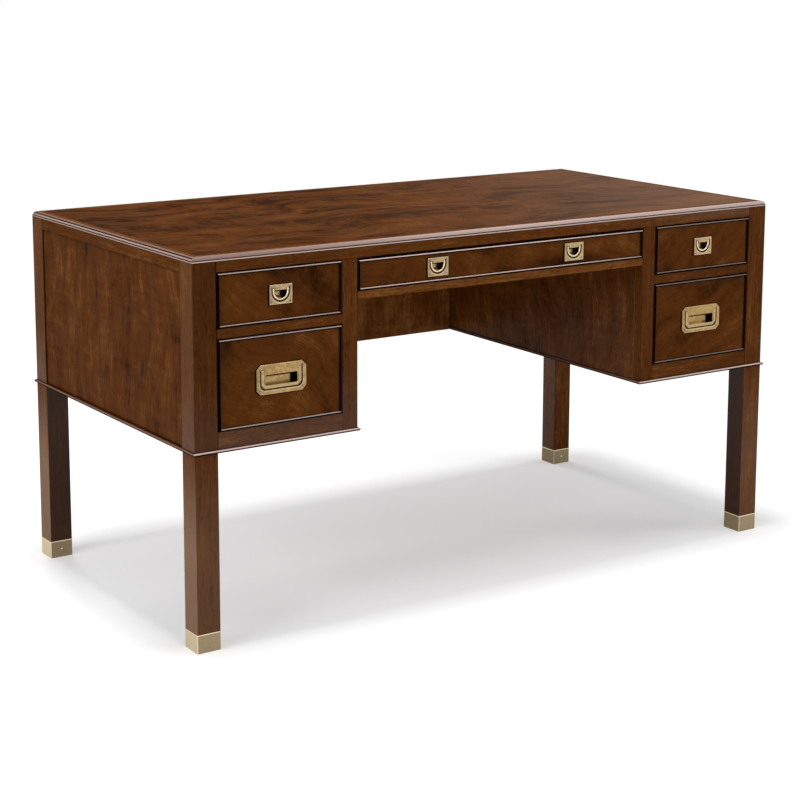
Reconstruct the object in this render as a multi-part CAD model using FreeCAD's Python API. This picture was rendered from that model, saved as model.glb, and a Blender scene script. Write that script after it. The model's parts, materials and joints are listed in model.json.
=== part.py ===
"""Campaign desk: a top on four full-height posts, two drawer pedestals and a kneehole drawer."""
import FreeCAD, Part
import math
import os
from FreeCAD import Vector

# Overall size. Millimetres, +Z up, the front faces -Y, the origin is on the floor in the middle.
case_width = 1444.0
case_depth = 734.0
desk_height = 762.0

# Top and its edge moulding
moulding_height = 11.0
moulding_width = 20.0
edge_bead_height = 3.0
edge_bead_chamfer = 0.6
quirk_width = 1.0
panel_tongue_height = 8.0

# Posts and ferrules
post_side = 50.0
post_arris = 1.0
ferrule_height = 37.0
ferrule_wall = 1.5
ferrule_proud = 0.3
ferrule_sole = 2.0
ferrule_arris = 1.2
ferrule_rim = 0.6

# Front frame, stacked from the top down
top_rail_height = 21.0
end_rail_height = 23.5
upper_opening_height = 106.5
divider_height = 19.5
lower_opening_height = 178.0
bottom_rail_height = 39.5
centre_opening_height = 65.5
kneehole_rail_height = 16.5
kneehole_width = 725.4
stile_width = 34.3
rail_thickness = 22.0

# Mortise and tenon joints
tenon_length = 20.0
short_tenon_length = 15.0
stub_tenon_length = 10.0
tenon_thickness = 8.0
tenon_setback = 7.0
tenon_shoulder = 3.0

# Panels and boards
panel_recess = 3.5
end_panel_thickness = 12.0
back_panel_thickness = 16.5
groove_depth = 6.0
side_board_thickness = 12.0
bottom_board_thickness = 12.0

# Base nosing
nosing_height = 6.0
nosing_reach = 4.5

# Runners, guides and bearers
runner_thickness = 18.0
runner_shelf = 22.0
guide_height = 21.5
guide_clearance = 1.0
runner_clearance = 0.3
bearer_width = 25.0
bearer_clearance = 1.5
cross_rail_width = 50.0

# Drawer fronts
front_side_gap = 3.0
front_top_gap = 3.0
front_bottom_gap = 1.5
centre_top_gap = 5.2
field_setback = 1.0
front_thickness = 20.0
bead_width = 3.6
bead_proud = 2.7
bead_nose_rise = 1.2
bead_rebate = 6.0

# Drawer boxes
box_inset = 1.0
box_side_thickness = 12.0
box_rear_clearance = 2.0
upper_box_headroom = 18.0
lower_box_headroom = 19.0
drawer_bottom_thickness = 6.0
drawer_bottom_lift = 8.0
dovetail_length = 14.0
dovetail_flare = 2.0
dovetail_share = 0.6
upper_tail_count = 2
lower_tail_count = 3
centre_tail_count = 1

# Pull plates and bails
plate_thickness = 2.0
plate_bevel = 0.5
casting_wall = 1.5
pocket_clearance = 0.5
pin_radius = 0.8
pin_running_clearance = 0.06
pin_engagement = 1.2
pivot_depth = 1.3
bail_clearance = 0.5

small_plate_width = 50.8
small_plate_height = 38.1
small_bail_width = 35.0
small_bail_wire = 3.6
small_bail_reach = 11.7
small_bail_arm = 3.7
small_bow_steps = 12
small_knuckle_radius = 2.4
small_bowl_radius = 12.8
small_bowl_depth = 11.0
small_bowl_draw = 3.5
small_tongue_width = 24.6
small_tongue_lift = 2.8
centre_pull_offset = 173.0

large_plate_width = 110.0
large_plate_height = 58.2
large_plate_clip = 9.5
large_bail_width = 88.0
large_bail_bar = 6.0
large_bail_thickness = 2.6
large_bail_clip = 8.0
large_bail_drop = 17.6
large_pivot_rise = 17.8
large_well_width = 70.6
large_well_top = 9.1
large_well_bottom = 13.0
large_well_depth = 12.0
large_well_rounding = 2.5

# Geometry of 45 degree corners, and the tolerance for two levels being the same
half_root = 0.5 ** 0.5
clip_loss = 2 - 2 ** 0.5
same = 0.001

# Levels and planes that follow from the sizes above
half_width = case_width / 2
front_face = -case_depth / 2
back_face = case_depth / 2
rail_top = desk_height - moulding_height
top_underside = rail_top - panel_tongue_height
opening_top = rail_top - top_rail_height
upper_opening_bottom = opening_top - upper_opening_height
lower_opening_top = upper_opening_bottom - divider_height
lower_opening_bottom = lower_opening_top - lower_opening_height
case_bottom = lower_opening_bottom - bottom_rail_height
centre_opening_bottom = opening_top - centre_opening_height
kneehole_top = centre_opening_bottom - kneehole_rail_height
end_rail_bottom = rail_top - end_rail_height
post_inner = half_width - post_side
post_behind = front_face + post_side
kneehole_half = kneehole_width / 2
stile_outer = kneehole_half + stile_width
side_board_outer = kneehole_half + side_board_thickness
rail_back = front_face + rail_thickness
end_panel_outer = half_width - panel_recess
end_panel_inner = end_panel_outer - end_panel_thickness
back_panel_outer = back_face - panel_recess
back_panel_inner = back_panel_outer - back_panel_thickness
tenon_near = front_face + tenon_setback
tenon_far = tenon_near + tenon_thickness
field_plane = front_face + field_setback
front_back = field_plane + front_thickness
box_end = back_panel_inner - box_rear_clearance


def block(x0, x1, y0, y1, z0, z1):
    """A rectangular piece between the given planes."""
    return Part.makeBox(x1 - x0, y1 - y0, z1 - z0, Vector(x0, y0, z0))


def prism(points, run):
    """A flat outline carried along the vector run."""
    outline = Part.makePolygon([Vector(*p) for p in points + points[:1]])
    return Part.Face(outline).extrude(Vector(*run))


def mirrored(shape):
    """The right-hand twin of a left-hand piece, across the middle of the desk."""
    return shape.mirror(Vector(0, 0, 0), Vector(1, 0, 0))


def together(pieces):
    """Pieces that share a node but stay separate solids."""
    return Part.makeCompound(pieces)


def joined(pieces):
    """Pieces of one casting or one board, made one solid."""
    return pieces[0].multiFuse(pieces[1:]).removeSplitter()


def save(name, shape):
    """Write one sub-part."""
    shape.exportStep(os.path.join("parts", name + ".step"))


def save_pair(name, left_shape):
    """Write a left-hand sub-part and its right-hand twin."""
    save(name + "_left", left_shape)
    save(name + "_right", mirrored(left_shape))


def upright_edges(shape):
    """The edges of a block that run straight up."""
    chosen = []
    for edge in shape.Edges:
        if edge.BoundBox.ZLength > shape.BoundBox.ZLength - same:
            chosen.append(edge)
    return chosen


def mitred_frame(half_x, half_y, section, inside, outside):
    """Four mitred strips round a rectangle; the section lies in XZ with X outward from its side."""
    strips = []
    for turn, reach, run in ((0, half_x, half_y), (90, half_y, half_x),
                             (180, half_x, half_y), (270, half_y, half_x)):
        strip = section.copy()
        strip.translate(Vector(reach, -run - outside, 0))
        strip = strip.extrude(Vector(0, 2 * (run + outside), 0))
        base = section.BoundBox.ZMin
        corners = [(reach - inside, inside - run, base), (reach + outside, -run - outside, base),
                   (reach + outside, run + outside, base), (reach - inside, run - inside, base)]
        strip = strip.common(prism(corners, (0, 0, section.BoundBox.ZLength)))
        strip.rotate(Vector(0, 0, 0), Vector(0, 0, 1), turn)
        strips.append(strip)
    return strips


def arc(start, middle, end):
    """An arc through three points."""
    return Part.Arc(Vector(*start), Vector(*middle), Vector(*end)).toShape()


def line(start, end):
    """A straight edge."""
    return Part.makeLine(Vector(*start), Vector(*end))


# ---------------------------------------------------------------- the top

def top_panel():
    """The veneered board, with a thicker tongue let down inside the rails."""
    field_x = half_width - moulding_width
    field_y = back_face - moulding_width
    field = block(-field_x, field_x, -field_y, field_y, rail_top, desk_height)
    tongue_x = half_width - rail_thickness
    tongue_y = back_face - rail_thickness
    tongue = block(-tongue_x, tongue_x, -tongue_y, tongue_y, top_underside, rail_top)
    for x in (-half_width, post_inner):
        for y in (front_face, back_face - post_side):
            tongue = tongue.cut(block(x, x + post_side, y, y + post_side, top_underside, rail_top))
    return joined([field, tongue])


def top_moulding():
    """Ovolo edge moulding over a thin bead, in four mitred lengths."""
    bead_top = rail_top + edge_bead_height
    radius = desk_height - bead_top
    diagonal = radius * half_root
    ease = edge_bead_chamfer
    edges = [
        line((-moulding_width, 0, rail_top), (0, 0, rail_top)),
        line((0, 0, rail_top), (0, 0, bead_top - ease)),
        line((0, 0, bead_top - ease), (-ease, 0, bead_top)),
        line((-ease, 0, bead_top), (-quirk_width, 0, bead_top)),
        arc((-quirk_width, 0, bead_top),
            (-quirk_width - radius + diagonal, 0, bead_top + diagonal),
            (-quirk_width - radius, 0, desk_height)),
        line((-quirk_width - radius, 0, desk_height), (-moulding_width, 0, desk_height)),
        line((-moulding_width, 0, desk_height), (-moulding_width, 0, rail_top)),
    ]
    section = Part.Face(Part.Wire(edges))
    return together(mitred_frame(half_width, back_face, section, moulding_width, 0))


# ---------------------------------------------------------------- the frame

def tenon_block(x0, x1, z0, z1):
    """A tenon of the front frame, running along X."""
    return block(x0, x1, tenon_near, tenon_far, z0 + tenon_shoulder, z1 - tenon_shoulder)


def front_rail(x0, x1, z0, z1, left_tenon, right_tenon):
    """A rail of the front frame with a tenon at each end."""
    body = block(x0, x1, front_face, rail_back, z0, z1)
    left = tenon_block(x0 - left_tenon, x0, z0, z1)
    right = tenon_block(x1, x1 + right_tenon, z0, z1)
    return joined([body, left, right])


def front_stile_blank():
    """The left front stile, with a tenon up into the top rail, before mortising."""
    body = block(-stile_outer, -kneehole_half, front_face, rail_back, case_bottom, opening_top)
    tongue_x0 = -stile_outer + tenon_shoulder
    tongue_x1 = -kneehole_half - tenon_shoulder
    tongue = block(tongue_x0, tongue_x1, tenon_near, tenon_far, opening_top,
                   opening_top + stub_tenon_length)
    return joined([body, tongue])


def top_rail_along_x(y0, z0):
    """A long top rail whose outer face is at the case face nearer to y0."""
    body = block(-post_inner, post_inner, y0, y0 + rail_thickness, z0, rail_top)
    if y0 < 0:
        tenon_y = y0 + tenon_setback
    else:
        tenon_y = y0 + rail_thickness - tenon_setback - tenon_thickness
    pieces = [body]
    for x in (-post_inner - tenon_length, post_inner):
        pieces.append(block(x, x + tenon_length, tenon_y, tenon_y + tenon_thickness,
                            z0 + tenon_shoulder, rail_top - tenon_shoulder))
    return joined(pieces)


def end_rail_blank():
    """The left end's top rail with its two tenons."""
    y_in = back_face - post_side
    body = block(-half_width, -half_width + rail_thickness, -y_in, y_in, end_rail_bottom, rail_top)
    pieces = [body]
    tenon_x = -half_width + tenon_setback
    for y in (-y_in - tenon_length, y_in):
        pieces.append(block(tenon_x, tenon_x + tenon_thickness, y, y + tenon_length,
                            end_rail_bottom + tenon_shoulder, rail_top - tenon_shoulder))
    return joined(pieces)


def end_panel():
    """The left end panel, its edges held in grooves of the posts and the rail."""
    y_in = back_face - post_side + groove_depth
    return block(-end_panel_outer, -end_panel_inner, -y_in, y_in, case_bottom,
                 end_rail_bottom + groove_depth)


def back_panel():
    """The back panel, which shows in the kneehole as the modesty panel."""
    x_in = post_inner + groove_depth
    return block(-x_in, x_in, back_panel_inner, back_panel_outer, case_bottom,
                 end_rail_bottom + groove_depth)


def post_blank(x0, y0):
    """A square post down to the floor end, where it is reduced to take its ferrule."""
    shaft = block(x0, x0 + post_side, y0, y0 + post_side, ferrule_height, rail_top)
    shaft = shaft.makeChamfer(post_arris, upright_edges(shaft))
    let_in = ferrule_wall - ferrule_proud
    foot = block(x0 + let_in, x0 + post_side - let_in, y0 + let_in, y0 + post_side - let_in,
                 ferrule_sole, ferrule_height)
    return joined([shaft, foot])


def ferrule(x0, y0, post):
    """A brass cap over the foot of a post."""
    outside = block(x0 - ferrule_proud, x0 + post_side + ferrule_proud,
                    y0 - ferrule_proud, y0 + post_side + ferrule_proud, 0, ferrule_height)
    outside = outside.makeChamfer(ferrule_arris, upright_edges(outside))
    rim = []
    for edge in outside.Edges:
        if edge.BoundBox.ZMax < same:
            rim.append(edge)
    return outside.makeChamfer(ferrule_rim, rim).cut(post)


def nosing_section():
    """A half-round strip standing out from the case face."""
    radius = nosing_height / 2
    flat = nosing_reach - radius
    z0 = case_bottom
    z1 = case_bottom + nosing_height
    edges = [
        line((0, 0, z1), (0, 0, z0)),
        line((0, 0, z0), (flat, 0, z0)),
        arc((flat, 0, z0), (nosing_reach, 0, z0 + radius), (flat, 0, z1)),
        line((flat, 0, z1), (0, 0, z1)),
    ]
    return Part.Face(Part.Wire(edges))


def base_nosing():
    """The left pedestal's nosing: four mitred lengths, filled out to the recessed panels."""
    middle_x = -(half_width + kneehole_half) / 2
    half_x = (half_width - kneehole_half) / 2
    strips = mitred_frame(half_x, back_face, nosing_section(), 0, nosing_reach)
    for strip in strips:
        strip.translate(Vector(middle_x, 0, 0))
    kneehole_strip, back_strip, end_strip, front_strip = strips
    top = case_bottom + nosing_height
    kneehole_strip = kneehole_strip.cut(block(-kneehole_half, 0, back_panel_inner,
                                              back_face + nosing_reach, case_bottom, top))
    end_filler = block(-half_width, -end_panel_outer, post_behind, -post_behind, case_bottom, top)
    back_filler = block(-post_inner, -kneehole_half, back_panel_outer, back_face, case_bottom, top)
    return together([kneehole_strip, joined([back_strip, back_filler]),
                     joined([end_strip, end_filler]), front_strip])


def kneehole_side(back_rail):
    """The board that closes the left pedestal toward the kneehole."""
    board = block(-side_board_outer, -kneehole_half, rail_back, back_panel_inner, case_bottom,
                  top_underside)
    return board.cut(back_rail)


def pedestal_bottom(posts):
    """The left pedestal's bottom board, notched round the posts."""
    board = block(-end_panel_inner, -side_board_outer, rail_back, back_panel_inner, case_bottom,
                  case_bottom + bottom_board_thickness)
    return board.cut(posts[0]).cut(posts[1])


# ---------------------------------------------------------------- what carries the drawers

def runner_pair(drawer_x0, drawer_x1, top, underside, posts):
    """Runners under a side drawer's two sides, each with a guide beside it."""
    pieces = []
    guide_top = top + guide_height
    outer_face = drawer_x0 - guide_clearance
    inner_face = drawer_x1 + guide_clearance
    pieces.append(block(-end_panel_inner, drawer_x0 + runner_shelf, rail_back, back_panel_inner,
                        underside, top))
    pieces.append(block(-end_panel_inner, outer_face, rail_back, back_panel_inner, top, guide_top))
    pieces.append(block(drawer_x1 - runner_shelf, -side_board_outer, rail_back, back_panel_inner,
                        underside, top))
    pieces.append(block(inner_face, -side_board_outer, rail_back, back_panel_inner, top, guide_top))
    cleared = []
    for piece in pieces:
        cleared.append(piece.cut(posts[0]).cut(posts[1]))
    return cleared


def upper_runners(posts):
    """The web frame that carries the left upper drawer."""
    x0, x1 = side_box_span()
    underside = upper_opening_bottom - runner_thickness
    pieces = runner_pair(x0, x1, upper_opening_bottom, underside, posts)
    pieces.append(block(x0 + runner_shelf, x1 - runner_shelf, back_panel_inner - cross_rail_width,
                        back_panel_inner, underside, upper_opening_bottom))
    return together(pieces)


def lower_runners(posts):
    """Runners that stand on the left pedestal's bottom board and carry the file drawer."""
    x0, x1 = side_box_span()
    underside = case_bottom + bottom_board_thickness
    return together(runner_pair(x0, x1, lower_opening_bottom, underside, posts))


def centre_runners():
    """Runners and guide strips on the kneehole sides for the centre drawer."""
    box_half = kneehole_half - front_side_gap - box_inset
    guide_face = box_half + guide_clearance
    guide_top = centre_opening_bottom + guide_height
    pieces = []
    for shape in (block(-kneehole_half, runner_shelf - box_half, rail_back, back_panel_inner,
                        kneehole_top, centre_opening_bottom),
                  block(-kneehole_half, -guide_face, rail_back, back_panel_inner,
                        centre_opening_bottom, guide_top)):
        pieces.append(shape)
        pieces.append(mirrored(shape))
    return together(pieces)


def top_bearers():
    """Six bearers under the top that keep the drawers from tipping when pulled out."""
    side_x0, side_x1 = side_box_span()
    box_half = kneehole_half - front_side_gap - box_inset
    underside = opening_top - upper_box_headroom + bearer_clearance
    pieces = []
    for x in (side_x0, side_x1 - bearer_width, -box_half):
        bearer = block(x, x + bearer_width, rail_back, back_face - rail_thickness, underside,
                       top_underside)
        pieces.append(bearer)
        pieces.append(mirrored(bearer))
    return together(pieces)


# ---------------------------------------------------------------- drawers

def side_front_span():
    """Left and right edges of a left-hand drawer front."""
    return -post_inner + front_side_gap, -stile_outer - front_side_gap


def side_box_span():
    """Left and right faces of a left-hand drawer box."""
    x0, x1 = side_front_span()
    return x0 + box_inset, x1 - box_inset


def bead_section():
    """A cockbead strip: X across the bead, Z out of the drawer front."""
    top = field_setback + bead_proud
    shoulder = top - bead_nose_rise
    edges = [
        line((-bead_width, 0, -bead_rebate), (0, 0, -bead_rebate)),
        line((0, 0, -bead_rebate), (0, 0, shoulder)),
        arc((0, 0, shoulder), (-bead_width / 2, 0, top), (-bead_width, 0, shoulder)),
        line((-bead_width, 0, shoulder), (-bead_width, 0, -bead_rebate)),
    ]
    return Part.Face(Part.Wire(edges))


def cockbeads(x0, x1, z0, z1):
    """Four mitred bead strips round the edge of a drawer front."""
    strips = mitred_frame((x1 - x0) / 2, (z1 - z0) / 2, bead_section(), bead_width, 0)
    for strip in strips:
        strip.rotate(Vector(0, 0, 0), Vector(1, 0, 0), 90)
        strip.translate(Vector((x0 + x1) / 2, field_plane, (z0 + z1) / 2))
    return strips


def front_board(x0, x1, z0, z1):
    """The board of a drawer front, rebated round its edge for the cockbead."""
    behind = block(x0, x1, field_plane + bead_rebate, front_back, z0, z1)
    field = block(x0 + bead_width, x1 - bead_width, field_plane, field_plane + bead_rebate,
                  z0 + bead_width, z1 - bead_width)
    return joined([behind, field])


def dovetails(x0, x1, root, tip, z0, z1, count):
    """A row of dovetails on the end of a board that lies across X."""
    pitch = (z1 - z0) / count
    root_half = pitch * dovetail_share / 2
    tip_half = root_half + dovetail_flare
    tails = []
    for number in range(count):
        middle = z0 + pitch * (number + 0.5)
        outline = [(x0, root, middle - root_half), (x0, tip, middle - tip_half),
                   (x0, tip, middle + tip_half), (x0, root, middle + root_half)]
        tails.append(prism(outline, (x1 - x0, 0, 0)))
    return tails


def drawer_box(x0, x1, z0, z1, tail_count):
    """Two sides, a back and a bottom; the tails of each side reach into the front and the back."""
    panel_z0 = z0 + drawer_bottom_lift
    panel_z1 = panel_z0 + drawer_bottom_thickness
    let_in = box_side_thickness - groove_depth
    panel = block(x0 + let_in, x1 - let_in, front_back - groove_depth, box_end, panel_z0, panel_z1)
    back = block(x0, x1, box_end - box_side_thickness, box_end, panel_z1, z1)
    sides = []
    for side_x in (x0, x1 - box_side_thickness):
        side_end = side_x + box_side_thickness
        front_tails = dovetails(side_x, side_end, front_back, front_back - dovetail_length,
                                panel_z1, z1, tail_count)
        back_tails = dovetails(side_x, side_end, box_end - box_side_thickness, box_end,
                               panel_z1, z1, tail_count)
        body = block(side_x, side_end, front_back, box_end - box_side_thickness, z0, z1)
        heel = block(side_x, side_end, front_back, box_end, z0, panel_z1)
        side = joined([body, heel] + front_tails + back_tails).cut(panel)
        sides.append(side)
        back = back.cut(side)
    return sides, back, panel


def drawer(name, front_span, front_levels, box_levels, tail_count, pockets):
    """Write one drawer: its beaded front and its dovetailed box."""
    x0, x1 = front_span
    z0, z1 = front_levels
    sides, back, panel = drawer_box(x0 + box_inset, x1 - box_inset, box_levels[0], box_levels[1],
                                    tail_count)
    board = front_board(x0, x1, z0, z1)
    for piece in sides + [panel] + pockets:
        board = board.cut(piece)
    front = together([board] + cockbeads(x0, x1, z0, z1))
    box = together(sides + [back, panel])
    return {name + "_front": front, name + "_box": box}


# ---------------------------------------------------------------- flush pulls

def disc(radius, y0, y1, z):
    """A round of material across Y, centred on X = 0."""
    return Part.makeCylinder(radius, y1 - y0, Vector(0, y0, z), Vector(0, 1, 0))


def pin_across(x0, x1, y, z, radius):
    """A round pin or bore along X."""
    return Part.makeCylinder(radius, x1 - x0, Vector(x0, y, z), Vector(1, 0, 0))


def bevelled_plate(outline):
    """A face plate from its XZ outline, bevelled round the front edge."""
    plate = prism([(x, 0, z) for x, z in outline], (0, -plate_thickness, 0))
    front_edges = []
    for edge in plate.Edges:
        if edge.BoundBox.YMax < -plate_thickness + same:
            front_edges.append(edge)
    return plate.makeChamfer(plate_bevel, front_edges)


def clipped_outline(half_x, z0, z1, low_clip, high_clip):
    """A rectangle in XZ with its lower and upper corners cut off."""
    points = [(-half_x + low_clip, z0), (half_x - low_clip, z0), (half_x, z0 + low_clip),
              (half_x, z1 - high_clip), (half_x - high_clip, z1), (-half_x + high_clip, z1),
              (-half_x, z1 - high_clip), (-half_x, z0 + low_clip)]
    distinct = []
    for point in points:
        if point not in distinct:
            distinct.append(point)
    return distinct


def flat_piece(outline, y0, y1):
    """An XZ outline given thickness from y0 to y1."""
    return prism([(x, y0, z) for x, z in outline], (0, y1 - y0, 0))


def octagon(half):
    """The corners of an even octagon about the origin, given half its width across flats."""
    clip = half * clip_loss
    return clipped_outline(half, -half, half, clip, clip)


def knuckle(x0, x1, z, half):
    """An eight-sided barrel along X round a bail's pivot line."""
    section = [(x0, pivot_y + y, z + rise) for y, rise in octagon(half)]
    return prism(section, (x1 - x0, 0, 0))


small_bail_radius = (small_bail_width - small_bail_wire) / 2
small_bail_centre = small_bail_width / 2 - small_bail_reach
small_pivot_z = small_bail_centre + small_bail_arm
small_tongue_z = small_bail_centre + small_tongue_lift
pivot_y = pivot_depth - plate_thickness


def small_bail():
    """A U bail of eight-sided wire with a knuckle and a pin at each end, hanging shut."""
    radius = small_bail_radius
    route = [Vector(-radius, pivot_y, small_pivot_z)]
    for step in range(small_bow_steps + 1):
        turned = math.pi * step / small_bow_steps
        route.append(Vector(-radius * math.cos(turned), pivot_y,
                            small_bail_centre - radius * math.sin(turned)))
    route.append(Vector(radius, pivot_y, small_pivot_z))
    section = [Vector(x - radius, pivot_y + y, small_pivot_z)
               for x, y in octagon(small_bail_wire / 2)]
    section = Part.makePolygon(section + section[:1])
    mitred = 1
    wire = Part.makePolygon(route).makePipeShell([section], True, False, mitred)
    reach = small_bail_width / 2 + 2 * bail_clearance + pin_engagement
    pieces = [wire]
    for side in (-1, 1):
        middle = side * radius
        ends = sorted((middle, side * reach))
        pieces.append(knuckle(middle - small_knuckle_radius, middle + small_knuckle_radius,
                              small_pivot_z, small_knuckle_radius))
        pieces.append(pin_across(ends[0], ends[1], pivot_y, small_pivot_z, pin_radius))
    return joined(pieces)


def small_recess_floor():
    """Depth plane of the ledge that the small bail lies on."""
    return pivot_y + small_knuckle_radius + bail_clearance


def small_casting_outline(extra, y0, y1):
    """The clipped body behind a small plate, enlarged by extra."""
    half_x = small_bail_width / 2 + 2 * bail_clearance + casting_wall + extra
    top = small_pivot_z + small_knuckle_radius + bail_clearance + casting_wall + extra
    low = small_bail_centre - half_x
    return flat_piece(clipped_outline(half_x, low, top, half_x * clip_loss, 0), y0, y1)


def small_cup(extra, y1):
    """The casting round the finger bowl, or its pocket, enlarged by extra."""
    half_x = small_bowl_radius + extra
    low = small_bail_centre - half_x
    top = small_tongue_z + extra
    return flat_piece(clipped_outline(half_x, low, top, half_x * clip_loss, 0), 0, y1)


def small_bowl(front, floor):
    """The round finger bowl, drawn in toward its floor and closed above by the plate's tongue."""
    radius = small_bowl_radius
    draw = small_bowl_draw
    profile = [(0, front), (radius, front), (radius, floor - draw), (radius - draw, floor),
               (0, floor)]
    profile = [Vector(x, y, small_bail_centre) for x, y in profile]
    face = Part.Face(Part.makePolygon(profile + profile[:1]))
    bowl = face.revolve(profile[0], Vector(0, 1, 0), 360)
    return bowl.common(block(-radius, radius, front, floor, small_bail_centre - radius,
                             small_tongue_z))


def small_pull_plate():
    """A nearly square plate with a round finger bowl and a ledge for the bail."""
    half_x = small_plate_width / 2
    half_z = small_plate_height / 2
    plate = bevelled_plate([(-half_x, -half_z), (half_x, -half_z), (half_x, half_z),
                            (-half_x, half_z)])
    floor = small_recess_floor()
    body = small_casting_outline(0, 0, floor + casting_wall)
    bowl_floor = small_bowl_depth - plate_thickness
    cup = small_cup(casting_wall, bowl_floor + casting_wall)
    casting = joined([plate, body, cup])
    ledge_radius = small_bail_width / 2 + 2 * bail_clearance
    ledge_top = small_pivot_z + small_knuckle_radius + bail_clearance
    front = -plate_thickness
    ledge = disc(ledge_radius, front, floor, small_bail_centre)
    ledge = ledge.common(block(-ledge_radius, ledge_radius, front, floor, -2 * ledge_radius,
                               small_bail_centre))
    arms = block(-ledge_radius, ledge_radius, front, floor, small_bail_centre, ledge_top)
    tongue = block(-small_tongue_width / 2, small_tongue_width / 2, front, floor, small_tongue_z,
                   ledge_top)
    ledge = joined([ledge, arms]).cut(tongue)
    bowl = small_bowl(front, bowl_floor)
    reach = ledge_radius + pin_engagement + pin_running_clearance
    bores = pin_across(-reach, reach, pivot_y, small_pivot_z, pin_radius + pin_running_clearance)
    bores = bores.cut(tongue)
    return casting.cut(ledge).cut(bowl).cut(bores)


def small_pockets(x, z):
    """What the drawer front loses to seat a small pull."""
    floor = small_recess_floor() + casting_wall + pocket_clearance
    shallow = small_casting_outline(pocket_clearance, 0, floor)
    grow = casting_wall + pocket_clearance
    deep = small_cup(grow, small_bowl_depth - plate_thickness + grow)
    pockets = [shallow, deep]
    for pocket in pockets:
        pocket.translate(Vector(x, field_plane, z))
    return pockets


def large_bail():
    """A flat bail with clipped lower corners and rounded pivot ends, lying shut."""
    half_x = large_bail_width / 2
    inner_x = half_x - large_bail_bar
    face = pivot_y - large_bail_thickness / 2
    rear = pivot_y + large_bail_thickness / 2
    low = -large_bail_drop
    inner_clip = large_bail_clip - large_bail_bar * clip_loss
    outer = flat_piece(clipped_outline(half_x, low, large_pivot_rise, large_bail_clip, 0),
                       face, rear)
    inner = flat_piece(clipped_outline(inner_x, low + large_bail_bar, large_pivot_rise,
                                       inner_clip, 0), face, rear)
    pieces = [outer.cut(inner)]
    reach = half_x + 2 * bail_clearance + pin_engagement
    for ends in ((-half_x, -inner_x), (inner_x, half_x)):
        pieces.append(knuckle(ends[0], ends[1], large_pivot_rise, large_bail_thickness / 2))
    for ends in ((-reach, -half_x), (half_x, reach)):
        pieces.append(pin_across(ends[0], ends[1], pivot_y, large_pivot_rise, pin_radius))
    return joined(pieces)


def large_casting_outline(extra, y0, y1):
    """The clipped body behind a large plate, enlarged by extra."""
    grow = 2 * bail_clearance + casting_wall + extra
    half_x = large_bail_width / 2 + grow
    top = large_pivot_rise + large_bail_thickness / 2 + bail_clearance + casting_wall + extra
    outline = clipped_outline(half_x, -large_bail_drop - grow, top, large_bail_clip, 0)
    return flat_piece(outline, y0, y1)


def large_well(extra, y0, y1):
    """The rectangular finger well or its cup, enlarged by extra."""
    half_x = large_well_width / 2 + extra
    return block(-half_x, half_x, y0, y1, -large_well_bottom - extra, large_well_top + extra)


def large_groove(floor):
    """The channel that the flat bail lies in."""
    half_x = large_bail_width / 2 + 2 * bail_clearance
    inner_x = large_bail_width / 2 - large_bail_bar - bail_clearance
    top = large_pivot_rise + large_bail_thickness / 2 + bail_clearance
    low = -large_bail_drop - 2 * bail_clearance
    inner_low = -large_bail_drop + large_bail_bar + bail_clearance
    inner_clip = large_bail_clip - large_bail_bar * clip_loss
    outer = flat_piece(clipped_outline(half_x, low, top, large_bail_clip, 0),
                       -plate_thickness, floor)
    inner = flat_piece(clipped_outline(inner_x, inner_low, top, inner_clip, 0),
                       -plate_thickness, floor)
    return outer.cut(inner)


def large_pull_plate():
    """A clipped rectangular plate with a rectangular finger well and a channel for the bail."""
    plate = bevelled_plate(clipped_outline(large_plate_width / 2, -large_plate_height / 2,
                                           large_plate_height / 2, large_plate_clip,
                                           large_plate_clip))
    floor = pivot_y + large_bail_thickness / 2 + bail_clearance
    body = large_casting_outline(0, 0, floor + casting_wall)
    well_floor = large_well_depth - plate_thickness
    cup = large_well(casting_wall, 0, well_floor + casting_wall)
    casting = joined([plate, body, cup])
    well = large_well(0, -plate_thickness, well_floor)
    round_edges = []
    for edge in well.Edges:
        if edge.BoundBox.YLength > well_floor:
            round_edges.append(edge)
    well = well.makeFillet(large_well_rounding, round_edges)
    reach = large_bail_width / 2 + 2 * bail_clearance + pin_engagement + pin_running_clearance
    bore_radius = pin_radius + pin_running_clearance
    casting = casting.cut(large_groove(floor)).cut(well)
    start = large_bail_width / 2
    for ends in ((-reach, -start), (start, reach)):
        casting = casting.cut(pin_across(ends[0], ends[1], pivot_y, large_pivot_rise, bore_radius))
    return casting


def large_pockets(x, z):
    """What the drawer front loses to seat a large pull."""
    floor = pivot_y + large_bail_thickness / 2 + bail_clearance + casting_wall + pocket_clearance
    shallow = large_casting_outline(pocket_clearance, 0, floor)
    deep = large_well(casting_wall + pocket_clearance, 0,
                      large_well_depth - plate_thickness + casting_wall + pocket_clearance)
    pockets = [shallow, deep]
    for pocket in pockets:
        pocket.translate(Vector(x, field_plane, z))
    return pockets


def at(shape, x, z):
    """A pull piece moved to its place on a drawer's field."""
    moved = shape.copy()
    moved.translate(Vector(x, field_plane, z))
    return moved


# ---------------------------------------------------------------- build

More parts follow.
